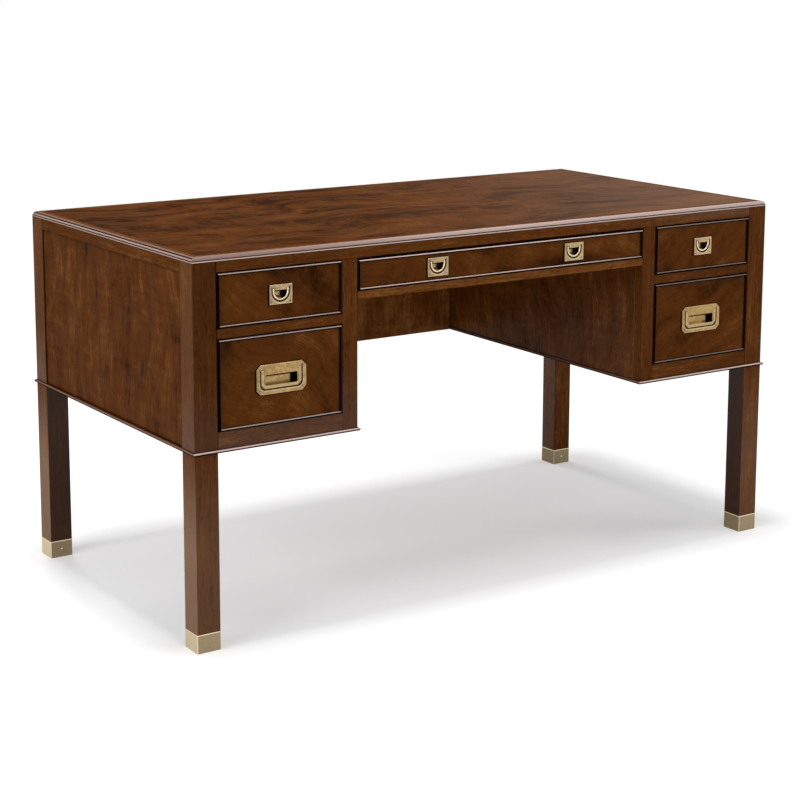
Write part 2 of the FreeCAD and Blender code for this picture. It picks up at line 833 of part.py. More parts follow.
def build_case():
    """Write every piece that stays still."""
    front_top = front_rail(-post_inner, post_inner, opening_top, rail_top, tenon_length,
                           tenon_length)
    back_top = top_rail_along_x(back_face - rail_thickness, end_rail_bottom)
    end_rail = end_rail_blank()
    panel = end_panel()
    rear_panel = back_panel()
    divider = front_rail(-post_inner, -stile_outer, lower_opening_top, upper_opening_bottom,
                         tenon_length, short_tenon_length)
    bottom_rail = front_rail(-post_inner, -stile_outer, case_bottom, lower_opening_bottom,
                             tenon_length, short_tenon_length)
    kneehole_rail = front_rail(-kneehole_half, kneehole_half, kneehole_top,
                               centre_opening_bottom, short_tenon_length, short_tenon_length)
    stile = front_stile_blank()
    for rail in (divider, bottom_rail, kneehole_rail):
        stile = stile.cut(rail)
    housed = [front_top, back_top, end_rail, panel, rear_panel, divider, bottom_rail]
    posts = []
    for name, y0 in (("front", front_face), ("back", back_face - post_side)):
        post = post_blank(-half_width, y0)
        cap = ferrule(-half_width, y0, post)
        for piece in housed:
            post = post.cut(piece)
        posts.append(post)
        save_pair("leg_" + name, post)
        save_pair("ferrule_" + name, cap)
    save("top_panel", top_panel())
    save("top_moulding", top_moulding())
    save("front_top_rail", front_top.cut(stile).cut(mirrored(stile)))
    save("back_top_rail", back_top.cut(rear_panel))
    save_pair("end_top_rail", end_rail.cut(panel))
    save_pair("end_panel", panel)
    save("back_panel", rear_panel)
    save_pair("front_stile", stile)
    save_pair("divider_rail", divider)
    save_pair("bottom_rail", bottom_rail)
    save("kneehole_rail", kneehole_rail)
    save_pair("kneehole_side", kneehole_side(back_top))
    save_pair("pedestal_bottom", pedestal_bottom(posts))
    save_pair("base_nosing", base_nosing())
    save_pair("upper_runners", upper_runners(posts))
    save_pair("lower_runners", lower_runners(posts))
    save("centre_runners", centre_runners())
    save("top_bearers", top_bearers())


def build_drawers():
    """Write the five drawers with their pulls."""
    span = side_front_span()
    middle_x = (span[0] + span[1]) / 2
    upper_levels = (upper_opening_bottom + front_bottom_gap, opening_top - front_top_gap)
    lower_levels = (lower_opening_bottom + front_bottom_gap, lower_opening_top - front_top_gap)
    centre_levels = (centre_opening_bottom + front_bottom_gap, opening_top - centre_top_gap)
    upper_box = (upper_opening_bottom + runner_clearance, opening_top - upper_box_headroom)
    lower_box = (lower_opening_bottom + runner_clearance, lower_opening_top - lower_box_headroom)
    centre_box = (centre_opening_bottom + runner_clearance, opening_top - upper_box_headroom)
    upper_z = sum(upper_levels) / 2
    lower_z = sum(lower_levels) / 2
    centre_z = sum(centre_levels) / 2
    small_plate = small_pull_plate()
    small_ring = small_bail()
    large_plate = large_pull_plate()
    large_ring = large_bail()

    pieces = drawer("upper_drawer", span, upper_levels, upper_box, upper_tail_count,
                    small_pockets(middle_x, upper_z))
    pieces["upper_pull_plate"] = at(small_plate, middle_x, upper_z)
    pieces["upper_pull_bail"] = at(small_ring, middle_x, upper_z)
    pieces.update(drawer("file_drawer", span, lower_levels, lower_box, lower_tail_count,
                         large_pockets(middle_x, lower_z)))
    pieces["file_pull_plate"] = at(large_plate, middle_x, lower_z)
    pieces["file_pull_bail"] = at(large_ring, middle_x, lower_z)
    pieces["centre_pull_bail"] = at(small_ring, -centre_pull_offset, centre_z)
    for name, shape in pieces.items():
        save_pair(name, shape)

    centre_half = kneehole_half - front_side_gap
    centre_plate = at(small_plate, -centre_pull_offset, centre_z)
    save("centre_pull_plates", together([centre_plate, mirrored(centre_plate)]))
    pockets = small_pockets(-centre_pull_offset, centre_z)
    pockets += small_pockets(centre_pull_offset, centre_z)
    for name, shape in drawer("centre_drawer", (-centre_half, centre_half), centre_levels,
                              centre_box, centre_tail_count, pockets).items():
        save(name, shape)


os.makedirs("parts", exist_ok=True)
build_case()
build_drawers()
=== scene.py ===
import json
import math

import bpy
import numpy as np
from mathutils import Matrix, Vector


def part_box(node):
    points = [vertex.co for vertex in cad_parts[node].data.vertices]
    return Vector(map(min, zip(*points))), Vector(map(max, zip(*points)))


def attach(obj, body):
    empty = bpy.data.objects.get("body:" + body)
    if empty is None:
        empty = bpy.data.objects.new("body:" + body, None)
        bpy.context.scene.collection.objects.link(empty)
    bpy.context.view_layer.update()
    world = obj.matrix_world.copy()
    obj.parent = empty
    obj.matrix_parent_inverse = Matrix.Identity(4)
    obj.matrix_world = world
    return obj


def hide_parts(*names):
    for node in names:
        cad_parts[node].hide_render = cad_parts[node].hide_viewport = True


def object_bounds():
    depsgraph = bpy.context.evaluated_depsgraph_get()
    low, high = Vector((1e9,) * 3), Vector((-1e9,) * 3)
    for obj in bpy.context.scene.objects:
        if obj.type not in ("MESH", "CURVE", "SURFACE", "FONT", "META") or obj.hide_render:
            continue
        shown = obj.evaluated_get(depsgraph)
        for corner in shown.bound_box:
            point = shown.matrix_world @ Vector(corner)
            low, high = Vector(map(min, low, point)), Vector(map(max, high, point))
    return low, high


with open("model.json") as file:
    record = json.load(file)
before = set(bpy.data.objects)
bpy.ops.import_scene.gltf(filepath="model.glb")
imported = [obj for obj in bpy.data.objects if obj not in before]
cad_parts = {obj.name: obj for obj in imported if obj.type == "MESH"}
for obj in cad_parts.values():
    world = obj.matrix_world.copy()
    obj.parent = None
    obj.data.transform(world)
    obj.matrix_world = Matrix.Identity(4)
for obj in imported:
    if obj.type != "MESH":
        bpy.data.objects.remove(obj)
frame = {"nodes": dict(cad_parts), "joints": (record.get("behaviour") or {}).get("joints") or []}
cad_low, cad_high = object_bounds()

bl_info = {
    "name": "Campaign desk finish",
    "version": (1, 0, 0),
    "blender": (4, 5, 0),
    "location": "View3D > Sidebar > Desk",
    "description": "Polished mahogany, aged brass, fastenings and a pale studio",
    "category": "Object",
}

JOINTS = {joint["name"]: joint for joint in frame["joints"]}
SIDES = ("left", "right")


def both(*names):
    """Those names, each with left and with right at its end."""
    return [name + side for name in names for side in SIDES]


RAILS = ["front_top_rail", "back_top_rail"] + both("divider_rail_", "bottom_rail_")
FERRULES = both("ferrule_front_", "ferrule_back_")
LINED = (["centre_drawer_box"] + both("upper_drawer_box_", "file_drawer_box_")
         + ["centre_runners", "top_bearers"] + both("upper_runners_", "lower_runners_"))

# Turns that lay the grain along an axis
ALONG_X = (0.0, 0.0, 0.0)
ALONG_Y = (0.0, 0.0, math.radians(90))
ALONG_Z = (0.0, math.radians(90), 0.0)

RUBBED = 0.55           # how far the edges of the plainer boards are worn
EDGE_GLOSS = 0.5        # shine of an edge that is rubbed through
BRASS_CORNER = 0.0035   # reach of the brass's corner mask: tarnish in its hollows, and part of the painted shade on the plates
SHADE_SLIP = 0.0016     # how far a plate's line of shade lies to the left of the plate
SCREW_SINK = 0.0003     # depth of a screw's rim in its plate
BOW_SHARE = 0.78        # share of a bail's height that lies below its pins
FACE_FROM, FACE_TO = 0.0012, 0.0004    # depths that tell an outer face from the rest
DIAGONAL = 0.707        # turns the sum of two sides into a distance across a corner
SCREWS = 24             # in all six plates
ROUND_STEPS = 24        # points round a wire or a ball
BALL_STEPS = 17         # points from pole to pole of a ball
ARC_STEPS = 49          # points along the half circle of a small bail
ARM_STEPS = 5           # points along each straight arm of a small bail
HEAD_RINGS, HEAD_STEPS = 15, 56    # points out to the rim of a screw and round it
FLOOR_STEPS = 13        # points along each side of the floor

# Where the painted shade of a finger well starts and where it is full, across its plate, and how
# high its top is
LARGE_WELL = (0.0225, 0.0275, 0.0067)
SMALL_WELL = (-0.001, 0.006, 0.0075)


# ---------------- settings a user would change

def number(name, text, value, **options):
    """A property of one number."""
    return bpy.props.FloatProperty(name=name, description=text, default=value, **options)


def length(name, text, value, high=10.0):
    """A length in metres."""
    return number(name, text, value, min=0.0, max=high, precision=5, unit="LENGTH",
                  subtype="DISTANCE")


def share(name, text, value, high=1.0):
    """A plain amount, most often between 0 and 1."""
    return number(name, text, value, min=0.0, max=high, subtype="FACTOR")


def angle(name, text, value):
    """An angle in radians."""
    return number(name, text, value, subtype="ANGLE", unit="ROTATION")


def power(name, text, value):
    """A lamp's power in watts."""
    return number(name, text, value, min=0.0, unit="POWER")


def colour(name, text, value):
    """A scene-linear colour."""
    return bpy.props.FloatVectorProperty(name=name, description=text, default=value, size=3,
                                         min=0.0, max=1.0, subtype="COLOR")


def place(name, text, value):
    """A point in metres."""
    return bpy.props.FloatVectorProperty(name=name, description=text, default=value, size=3,
                                         unit="LENGTH", subtype="TRANSLATION")


class DeskTimberSettings(bpy.types.PropertyGroup):
    """Colours and finish of the mahogany and of the plain timber inside."""
    dark: colour("Dark streaks", "Late growth and pores of the mahogany", (0.020, 0.0056, 0.0008))
    ground: colour("Ground", "Main colour of the mahogany", (0.092, 0.0275, 0.0045))
    light: colour("Light figure", "Light flames in the figure", (0.225, 0.083, 0.0190))
    # Real glaze and painted shade: corners, gaps and the reliefs' dark places are darkened to this
    # colour, and so are the dark joint lines
    glaze_and_shade: colour("Glaze", "Dark glaze left in corners and quirks", (0.0045, 0.0018, 0.0010))
    rubbed: colour("Rubbed edge", "Mahogany where edges are rubbed through", (0.42, 0.270, 0.200))
    # Painted highlight: this pale colour is laid on the lit places of the cockbeads and the base
    # nosing
    polish: colour("Polished round", "Pale shine on rounds that hands polish", (0.54, 0.420, 0.385))
    # Painted highlight on the bead and the round of the top's edge moulding
    lip: colour("Lip polish", "Shine of the top's outer lip", (0.66, 0.550, 0.525))
    # Painted light: warm pale colour of the painted sheen on the top and of the paler places on the
    # legs, rails and stiles
    warm_painted_light: colour("Warm polish", "Shine of old polish on legs and top", (0.57, 0.410, 0.290))
    roughness: share("Roughness", "Roughness of the satin polish", 0.36)
    lining_dark: colour("Lining dark", "Grain lines of the inside timber", (0.20, 0.105, 0.045))
    lining_light: colour("Lining light", "Ground of the inside timber", (0.42, 0.255, 0.125))
    sheen: share("Sheen", "Share of the light that the wax coat mirrors", 0.06)
    # The corner mask of this reach darkens corners and gaps: part real glaze, part painted shade
    crevice_reach: length("Glaze reach", "How far the glaze reaches out of a corner", 0.007)
    edge_reach: length("Edge reach", "Width of the rubbed line along an edge", 0.0014)
    joint_reach: length("Joint reach", "Width of the dark line along a joint", 0.0030)


class DeskBrassSettings(bpy.types.PropertyGroup):
    """Colours and sizes of the brass fittings."""
    bright: colour("Bright brass", "Rubbed high places of the pulls", (0.60, 0.410, 0.175))
    pale: colour("Pale brass", "Ground of the small plates", (0.36, 0.250, 0.130))
    pale_high: colour("Pale high brass", "Rubbed places of the small plates", (0.62, 0.450, 0.250))
    aged: colour("Aged brass", "Aged ground of the pulls", (0.33, 0.208, 0.080))
    # Real brown of patina specks, of the screws and of tarnish in hollows; also the painted shade
    # on the plates, the bails and the ferrules
    stain_and_shade: colour("Stain", "Brown stain round the screws and in the grooves", (0.006, 0.004, 0.002))
    bail: colour("Bail brass", "Aged ground of the bails", (0.34, 0.235, 0.118))
    ferrule: colour("Ferrule brass", "Satin brass of the ferrules", (0.40, 0.315, 0.190))
    roughness: share("Roughness", "Roughness of the aged brass", 0.34)
    # Painted highlight on the plates' rims and lips, the bails' upper faces and the ferrules' rims,
    # ends and arrises; also the rubbed edges of the screws, the high colour of the small bails and
    # the colour of the ferrule pins
    rim: colour("Rubbed brass", "Pale brass on rims and crests", (0.92, 0.780, 0.560))
    edge_reach: length("Edge reach", "Width of the line along an edge or a groove", 0.0011)
    small_plate: length("Small plate", "Width of a small plate", 0.0508)
    large_plate: length("Large plate", "Width of a large plate", 0.110)
    large_cut: length("Large plate corner", "Clipped corner of a large plate", 0.0095)
    large_corner: length("Large bail corner", "Corner of a large bail", 0.008)
    plate_proud: length("Plate height", "How far the pull plates stand off the drawers", 0.002)
    small_screw: length("Small screw", "Head diameter of the small plates' screws", 0.0036)
    small_screw_edge: length("Small screw edge", "From plate edge to screw, small plates", 0.0050)
    large_screw: length("Large screw", "Head diameter of the large plates' screws", 0.0048)
    large_screw_edge: length("Large screw edge", "From plate edge to screw, large plates", 0.0085)
    screw_dome: length("Screw dome", "Height of a screw head over its plate", 0.0006)
    screw_slot: length("Screw slot", "Width of a screw's slot", 0.0007)
    wire: length("Bail wire", "Diameter of the small bails' wire", 0.0036)
    ball: length("Bail ball", "Diameter of the balls at a small bail's ends", 0.0048)
    ferrule_pin: length("Ferrule pin", "Head diameter of the pin in each ferrule", 0.0034)
    pin_dome: length("Pin dome", "Height of a pin head over its ferrule", 0.0002)


class DeskStageSettings(bpy.types.PropertyGroup):
    """Floor, camera and lamps; the lamps' settings are added from their table, below."""
    floor_colour: colour("Floor", "Colour of the plain floor", (0.62, 0.615, 0.62))
    floor_lift: share("Floor lift", "Light the floor itself adds where it is seen", 0.35)
    floor_clear: length("Clear floor", "Distance at which the floor has faded to white", 3.2)
    floor_size: length("Floor size", "Side of the floor", 24.0, high=100.0)
    world_strength: share("Studio light", "Strength of the even studio light", 0.42, high=5.0)
    camera_place: place("Camera place", "Where the camera stands", (-2.32453, -3.45550, 1.33823))
    camera_yaw: angle("Camera yaw", "Turn from +Y toward +X", 0.58845)
    camera_dip: angle("Camera dip", "Tilt below level", 0.1679)
    camera_roll: angle("Camera roll", "Roll about the view", 0.00265)
    camera_lens: number("Focal length", "Lens in millimetres", 86.279, min=1.0, unit="CAMERA")
    camera_shift: number("Rise", "Vertical lens shift", -0.17)


# Each lamp: what it is, its power in watts, its place and its side in metres
LAMPS = {
    "key": ("soft lamp on the right", 38.0, (3.9, -2.9, 1.5), 1.6),
    "fill": ("soft lamp on the left", 88.0, (-4.4, -0.9, 2.2), 2.6),
    "front": ("high lamp in front", 38.0, (0.3, -1.05, 4.0), 1.2),
    "back": ("high lamp behind", 58.0, (0.3, 4.1, 3.3), 1.2),
    "low": ("low lamp that looks into the kneehole", 28.0, (-1.6, -4.8, 0.9), 1.6),
    "top": ("overhead lamp", 310.0, (-0.5, 0.0, 8.0), 1.2),
}
for lamp, (kind, watts, spot, side) in LAMPS.items():
    title = lamp.capitalize() + " lamp"
    DeskStageSettings.__annotations__.update({
        lamp + "_power": power(title, f"Power of the {kind}", watts),
        lamp + "_place": place(title + " place", f"Place of the {kind}", spot),
        lamp + "_size": length(title + " size", f"Side of the {kind}", side)})


# ---------------- node helpers

class Signal:
    """A node's output that adds, subtracts and multiplies by way of Math nodes."""

    def __init__(self, tree, socket):
        self.tree, self.socket = tree, socket

    def __add__(self, other):
        return maths("ADD", self, other)

    def __sub__(self, other):
        return maths("SUBTRACT", self, other)

    def __rsub__(self, other):
        return maths("SUBTRACT", other, self)

    def __mul__(self, other):
        return maths("MULTIPLY", self, other)

    def __abs__(self):
        return maths("ABSOLUTE", self)


def put(tree, kind, inputs=None, **options):
    """Adds a node and gives its outputs by name and by number; inputs maps a socket's name or
    number to a value or to a signal."""
    node = tree.nodes.new(kind)
    for name, value in options.items():
        setattr(node, name, value)
    for key, value in (inputs or {}).items():
        if isinstance(value, Signal):
            tree.links.new(value.socket, node.inputs[key])
        else:
            node.inputs[key].default_value = value
    return {key: Signal(tree, socket) for index, socket in enumerate(node.outputs)
            for key in (index, socket.name)}


def tree_of(*values):
    """The tree of the first signal among the values."""
    return next(value.tree for value in values if isinstance(value, Signal))


def maths(operation, first, second=0.0):
    """One Math node; gives its result."""
    return put(tree_of(first, second), "ShaderNodeMath", {0: first, 1: second},
               operation=operation)[0]


def larger(first, *others):
    """The largest of the values."""
    for other in others:
        first = maths("MAXIMUM", first, other)
    return first


def vector_maths(operation, first, second):
    """One Vector Math node; gives its vector."""
    return put(first.tree, "ShaderNodeVectorMath", {0: first, 1: second},
               operation=operation)["Vector"]


def split(vector):
    """The three components of a vector."""
    node = put(vector.tree, "ShaderNodeSeparateXYZ", {0: vector})
    return node[0], node[1], node[2]


def ramp(value, low, high, start=0.0, end=1.0):
    """Smoothly carries value from low..high to start..end."""
    return put(value.tree, "ShaderNodeMapRange",
               {"Value": value, 1: low, 2: high, 3: start, 4: end},
               interpolation_type="SMOOTHSTEP")[0]


def band(value, low, rise, fall, high):
    """1 between rise and fall, carried smoothly to 0 at low and high."""
    return ramp(value, low, rise) * ramp(value, high, fall)


def blend(amount, first, second):
    """Mixes two colours, each a signal or three numbers."""
    first, second = (tint if isinstance(tint, Signal) else (*tint, 1.0)
                     for tint in (first, second))
    return put(tree_of(amount, first, second), "ShaderNodeMix", {0: amount, 6: first, 7: second},
               data_type="RGBA")[2]


def noise(vector, scale, detail=2.0, roughness=0.5, bend=0.0):
    """Noise whose mean is about 0.5; gives all outputs of the node."""
    return put(vector.tree, "ShaderNodeTexNoise",
               {"Vector": vector, "Scale": scale, "Detail": detail, "Roughness": roughness,
                "Distortion": bend})


def bump(height, strength, distance):
    """The normal tilted by a field of heights."""
    return put(height.tree, "ShaderNodeBump",
               {"Height": height, "Strength": strength, "Distance": distance})[0]


def facing(tree):
    """The three components of the surface's own normal."""
    return split(put(tree, "ShaderNodeTexCoord")["Normal"])


def new_group(name, inputs):
    """An empty shader node group that takes a Vector and the given numbers; gives the tree and
    its inputs."""
    tree = bpy.data.node_groups.new(name, "ShaderNodeTree")
    tree.interface.new_socket("Vector", in_out="INPUT", socket_type="NodeSocketVector")
    for socket, value in inputs.items():
        item = tree.interface.new_socket(socket, in_out="INPUT", socket_type="NodeSocketFloat")
        item.default_value = value
    return tree, put(tree, "NodeGroupInput")


def close_group(tree, results):
    """Gives a node group one output for each result."""
    for name in results:
        tree.interface.new_socket(name, in_out="OUTPUT", socket_type="NodeSocketFloat")
    put(tree, "NodeGroupOutput", results)
    return tree


def grouped(name, inputs):
    """The outputs of one node of the group of that name, which is made when first wanted."""
    group = bpy.data.node_groups.get(name) or GROUPS[name]()
    return put(tree_of(*inputs.values()), "ShaderNodeGroup", inputs, node_tree=group)


# ---------------- node groups

def figure_group():
    """Figured timber whose grain runs along the vector's X.

    Slow noise bends the grain sideways, so fibres sweep round in flames. Noise stretched along
    the grain gives streaks and, less stretched, short flecks; rounder noise gives mottled
    patches and broad flames; very thin stretched noise, cut off low, gives open pores."""
    tree, given = new_group("timber_figure", {"Sweep": 0.03, "Flame": 0.4, "Flame Scale": 7.0,
                                              "Mottle": 0.5, "Streak": 0.6,
                                              "Streak Scale": 150.0})
    slow = noise(given["Vector"], 2.8, 1.5)["Color"]
    centred = vector_maths("SUBTRACT", slow, (0.5, 0.5, 0.5))
    sideways = vector_maths("MULTIPLY", centred, (0.4, 2.0, 2.0))
    bent = put(tree, "ShaderNodeVectorMath", {0: sideways, "Scale": given["Sweep"]},
               operation="SCALE")["Vector"]
    swept = vector_maths("ADD", given["Vector"], bent)

    def drawn(stretch, scale, detail, roughness=0.5, bend=0.0):
        """Noise drawn out along the grain."""
        return noise(vector_maths("MULTIPLY", swept, stretch), scale, detail, roughness, bend)[0]

    streaks = drawn((0.07, 1.0, 1.0), given["Streak Scale"], 4.0, 0.68) - 0.5
    flecks = drawn((0.16, 1.0, 1.0), 420.0, 2.0, 0.6) - 0.5
    mottle = drawn((0.25, 1.0, 1.0), 30.0, 3.0, 0.6, 0.3) - 0.5
    ripple = drawn((1.0, 0.22, 0.22), 60.0, 2.0, 0.5, 0.3) - 0.5
    flames = drawn((0.28, 1.0, 1.0), given["Flame Scale"], 3.0, 0.55, 0.5) - 0.5
    fine = (streaks + flecks * 0.8) * given["Streak"]
    patches = (mottle + ripple * 0.4) * given["Mottle"]
    tone = flames * given["Flame"] + patches + (fine + 0.5)
    pores = ramp(drawn((0.06, 1.0, 1.0), 800.0, 1.0), 0.40, 0.33)
    return close_group(tree, {"Tone": put(tree, "ShaderNodeClamp", {0: tone})[0],
                              "Pores": pores, "Height": streaks - pores})


def shade_and_wear_group():
    """Where a finish is worn and where shade gathers.

    Corner is high where other surfaces stand close by; the finishes darken it: in the timber part
    real glaze and part painted shade, in the brass tarnish in its hollows and, on the plates,
    painted shade. Edge is high where a rounded normal differs from the true one and nothing stands
    close, broken up by noise so that a worn line comes and goes."""
    tree, given = new_group("corner_and_edge", {"Corner Reach": 0.005, "Edge Reach": 0.001})
    near = put(tree, "ShaderNodeAmbientOcclusion", {"Distance": given["Corner Reach"]},
               samples=6)["AO"]
    soft = put(tree, "ShaderNodeBevel", {"Radius": given["Edge Reach"]}, samples=6)[0]
    true = put(tree, "ShaderNodeNewGeometry")["Normal"]
    agree = put(tree, "ShaderNodeVectorMath", {0: soft, 1: true}, operation="DOT_PRODUCT")["Value"]
    patchy = ramp(noise(given["Vector"], 38.0, 3.0, 0.6)[0], 0.30, 0.58)
    return close_group(tree, {
        "Corner": ramp(near, 0.90, 0.42),
        "Edge": ramp(agree, 0.995, 0.90) * patchy * ramp(near, 0.46, 0.62)})


def cockbead_group():
    """Painted highlight and painted shade on the cockbeads, which stand before a drawer's field.

    Dark, the painted shade, is 1 all over a bead. Light, the painted highlight, lies on the upper
    half of its nose where it runs level, and faintly on its right half where it stands upright."""
    tree, given = new_group("cockbead_relief", {"Field": 0.0})
    proud = ramp(given["Field"] - split(given["Vector"])[1], 0.0004, 0.0010)
    across, _, up = facing(tree)
    level = ramp(up, 0.03, 0.20)
    upright = ramp(across, 0.15, 0.45, 0.0, 0.16)
    return close_group(tree, {"Light": larger(level, upright) * proud, "Dark": proud})


def lip_group():
    """Painted highlights and painted shade up the edge moulding: bead, quirk, then the round up to
    the flat.

    Height is measured from the foot of the moulding. The long edges get a painted highlight all
    over the round; the ends get it on its middle and on its top arris. Painted shade lies in the
    quirk, and on the ends in a line below the arris."""
    tree, given = new_group("lip_relief", {"Foot": 0.0})
    x, _, z = split(given["Vector"])
    height = z - given["Foot"]
    across, _, up = facing(tree)
    slope = ramp(up, 0.999, 0.985)
    end = ramp(abs(across), 0.02, 0.06)
    bead = band(height, 0.0002, 0.0006, 0.0021, 0.0026)
    middle = band(height, 0.0040, 0.0048, 0.0066, 0.0078) * 0.88
    arris = band(height, 0.0088, 0.0098, 0.0120, 0.0130)
    front = ramp(height, 0.0038, 0.0050) * ramp(x, -0.70, 0.05, 0.46, 1.0)
    face = put(tree, "ShaderNodeMix", {0: end, 2: front, 3: middle + arris * 0.22})[0]
    shine = face * 0.50 + bead * ramp(end, 0.0, 1.0, 0.8, 0.45)
    quirk = band(height, 0.0025, 0.0029, 0.0036, 0.0042) * 0.35
    gap = band(height, 0.0072, 0.0080, 0.0086, 0.0092) * end
    return close_group(tree, {"Light": shine * slope, "Dark": larger(quirk, gap) * slope})


def plate_group():
    """Places of painted light and painted shade on a pull plate, measured from the plate's own
    middle.

    Rim, the outermost strip of the face, takes a painted highlight, and Wall, the outer sides
    below it, painted shade; Cover is 1 all over the plate. Well is the end and the top of the
    finger well, which light hardly reaches, painted as shade. Groove, painted shade, follows the
    outer side of the bail, a rounded U, and Lip is the painted highlight on the bright edge under
    it."""
    tree, given = new_group("pull_plate_relief", dict.fromkeys((
        "Middle X", "Middle Z", "Slip", "Half Width", "Half Height", "Cut", "Front", "Well From",
        "Well To", "Well Top", "Bail Half", "Bail Radius", "Bail Middle", "Bail Top"), 0.0))
    x, y, z = split(given["Vector"])
    across = x - maths("SIGN", x) * given["Middle X"] + given["Slip"]
    up, depth = z - given["Middle Z"], y - given["Front"]
    wide, tall = abs(across), abs(up)
    far = larger(wide - given["Half Width"], tall - given["Half Height"],
                 (wide + tall - given["Cut"]) * DIAGONAL)
    border = ramp(far, -0.0022, -0.0012)
    shallow = ramp(depth, 0.0008, 0.0004)
    side = larger(wide - given["Bail Half"], 0.0)
    drop = larger(given["Bail Middle"] - up, 0.0)
    out = maths("SQRT", side * side + drop * drop) - given["Bail Radius"]
    above = up - given["Bail Top"]
    groove = band(out, -0.0006, 0.0, 0.0025, 0.0036) * ramp(above, 0.0030, 0.0012)
    lip = band(out, 0.0030, 0.0038, 0.0048, 0.0060) * ramp(up, -0.004, -0.010)
    well = larger(ramp(across, given["Well From"], given["Well To"]),
                  ramp(given["Well Top"] - up, 0.0046, 0.0022)) * ramp(depth, 0.0012, 0.0030)
    return close_group(tree, {
        "Rim": border * shallow, "Wall": border * (1.0 - shallow), "Well": well * (1.0 - border),
        "Groove": groove * shallow, "Lip": lip * shallow, "Cover": ramp(far, 0.0012, 0.0),
        "Across": across})


def patina_group():
    """Ageing of cast brass: slow brown clouds, small specks and faint casting grain."""
    tree, given = new_group("brass_patina", {})
    cloud = noise(given["Vector"], 130.0, 4.0, 0.6, 0.4)[0]
    specks = noise(given["Vector"], 900.0)[0]
    grain = noise(given["Vector"], 1700.0)[0]
    return close_group(tree, {"Cloud": ramp(cloud, 0.34, 0.66), "Specks": ramp(specks, 0.36, 0.30),
                              "Height": grain * 0.5 + cloud})


GROUPS = {"timber_figure": figure_group, "corner_and_edge": shade_and_wear_group,
          "cockbead_relief": cockbead_group, "lip_relief": lip_group,
          "pull_plate_relief": plate_group, "brass_patina": patina_group}


# ---------------- painted light and shade of single pieces

def relief(where, group, setting, value):
    """The painted light and painted shade masks of a relief group, with its one setting filled in;
    no gloss.
    """
    masks = grouped(group, {"Vector": where, setting: value})
    return masks["Light"], masks["Dark"], 0.0


def front_relief(kind):
    """Relief of a drawer front; its field lies behind the pull plates by their thickness, and a
    painted shadow lies along the left and lower side of each plate."""
    def carved(where):
        """Painted cockbead highlights and shade first, the highlights duller to the sitter's right,
        then the painted shadow beside the plate.
        """
        proud = bpy.context.scene.desk_brass.plate_proud
        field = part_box("upper_pull_plate_left")[0].y + proud
        light, dark, gloss = relief(where, "cockbead_relief", "Field", field)
        # Painted shadow: a dark strip beside the plate, to its left and below
        cover = plate_masks(where, kind, slip=SHADE_SLIP)["Cover"]
        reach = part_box("top_panel")[1].x
        highlight_fade = ramp(split(where)[0], reach * 0.2, reach * 0.65, 1.0, 0.5)
        return light * highlight_fade, larger(dark, cover * 0.9), gloss
    return carved


def plate_masks(where, kind, slip=0.0):
    """The masks of one kind of pull plate: upper, centre or file; slip moves them to the left
    and half as far down."""
    brass = bpy.context.scene.desk_brass
    large = kind == "file"
    node = "centre_pull_plates" if kind == "centre" else kind + "_pull_plate_right"
    low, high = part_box(node)
    half_width = (brass.large_plate if large else brass.small_plate) / 2
    half_height = (high.z - low.z) / 2
    middle = (low.z + high.z) / 2
    bail = kind + "_pull_bail_right"
    bow = bow_width(bail) / 2
    radius = brass.large_corner if large else bow
    bail_low, bail_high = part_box(bail)
    well_from, well_to, well_top = LARGE_WELL if large else SMALL_WELL
    return grouped("pull_plate_relief", {
        "Vector": where, "Middle X": high.x - half_width, "Middle Z": middle - slip / 2,
        "Slip": slip, "Half Width": half_width, "Half Height": half_height,
        "Cut": half_width + half_height - (brass.large_cut if large else 0.0),
        "Front": low.y, "Well From": well_from, "Well To": well_to, "Well Top": well_top,
        "Bail Half": bow - radius, "Bail Radius": radius,
        "Bail Middle": bail_low.z + radius - middle, "Bail Top": bail_high.z - middle})


def lip_relief(where):
    """Relief of the top's edge moulding."""
    return relief(where, "lip_relief", "Foot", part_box("top_moulding")[0].z)


def nosing_relief(where):
    """Relief of the base nosing: a painted highlight over its upper half, painted shade under its
    lower half.
    """
    across, _, up = facing(where.tree)
    light = band(up, 0.05, 0.30, 0.90, 0.99) * ramp(abs(across), 0.02, 0.06, 1.0, 0.19)
    return light, ramp(up, 0.0, -0.35), 0.0


def floor_glow(x, z):
    """Gloss that grows down the front of the left pedestal, which faces the pale floor."""
    low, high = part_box("bottom_rail_left")
    return ramp(x, 0.1, -0.4) * ramp(z, high.z + 0.13, low.z + 0.01, 0.0, 0.36)


def frame_relief(where):
    """Relief of the front rails and stiles: painted light near the top right; darker and glossier
    low down.
    """
    x, _, z = split(where)
    glow = floor_glow(x, z)
    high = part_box("front_top_rail")[0].z
    return ramp(x, 0.25, 0.65, 0.0, 0.06) * ramp(z, high, high + 0.01), glow * 0.6, glow


def outer_faces(x, y, low):
    """Masks of the outer faces of the desk's corner pieces: at its ends, and front and back."""
    return [ramp(abs(at), -face - FACE_FROM, -face - FACE_TO)
            for at, face in ((x, low.x), (y, low.y))]


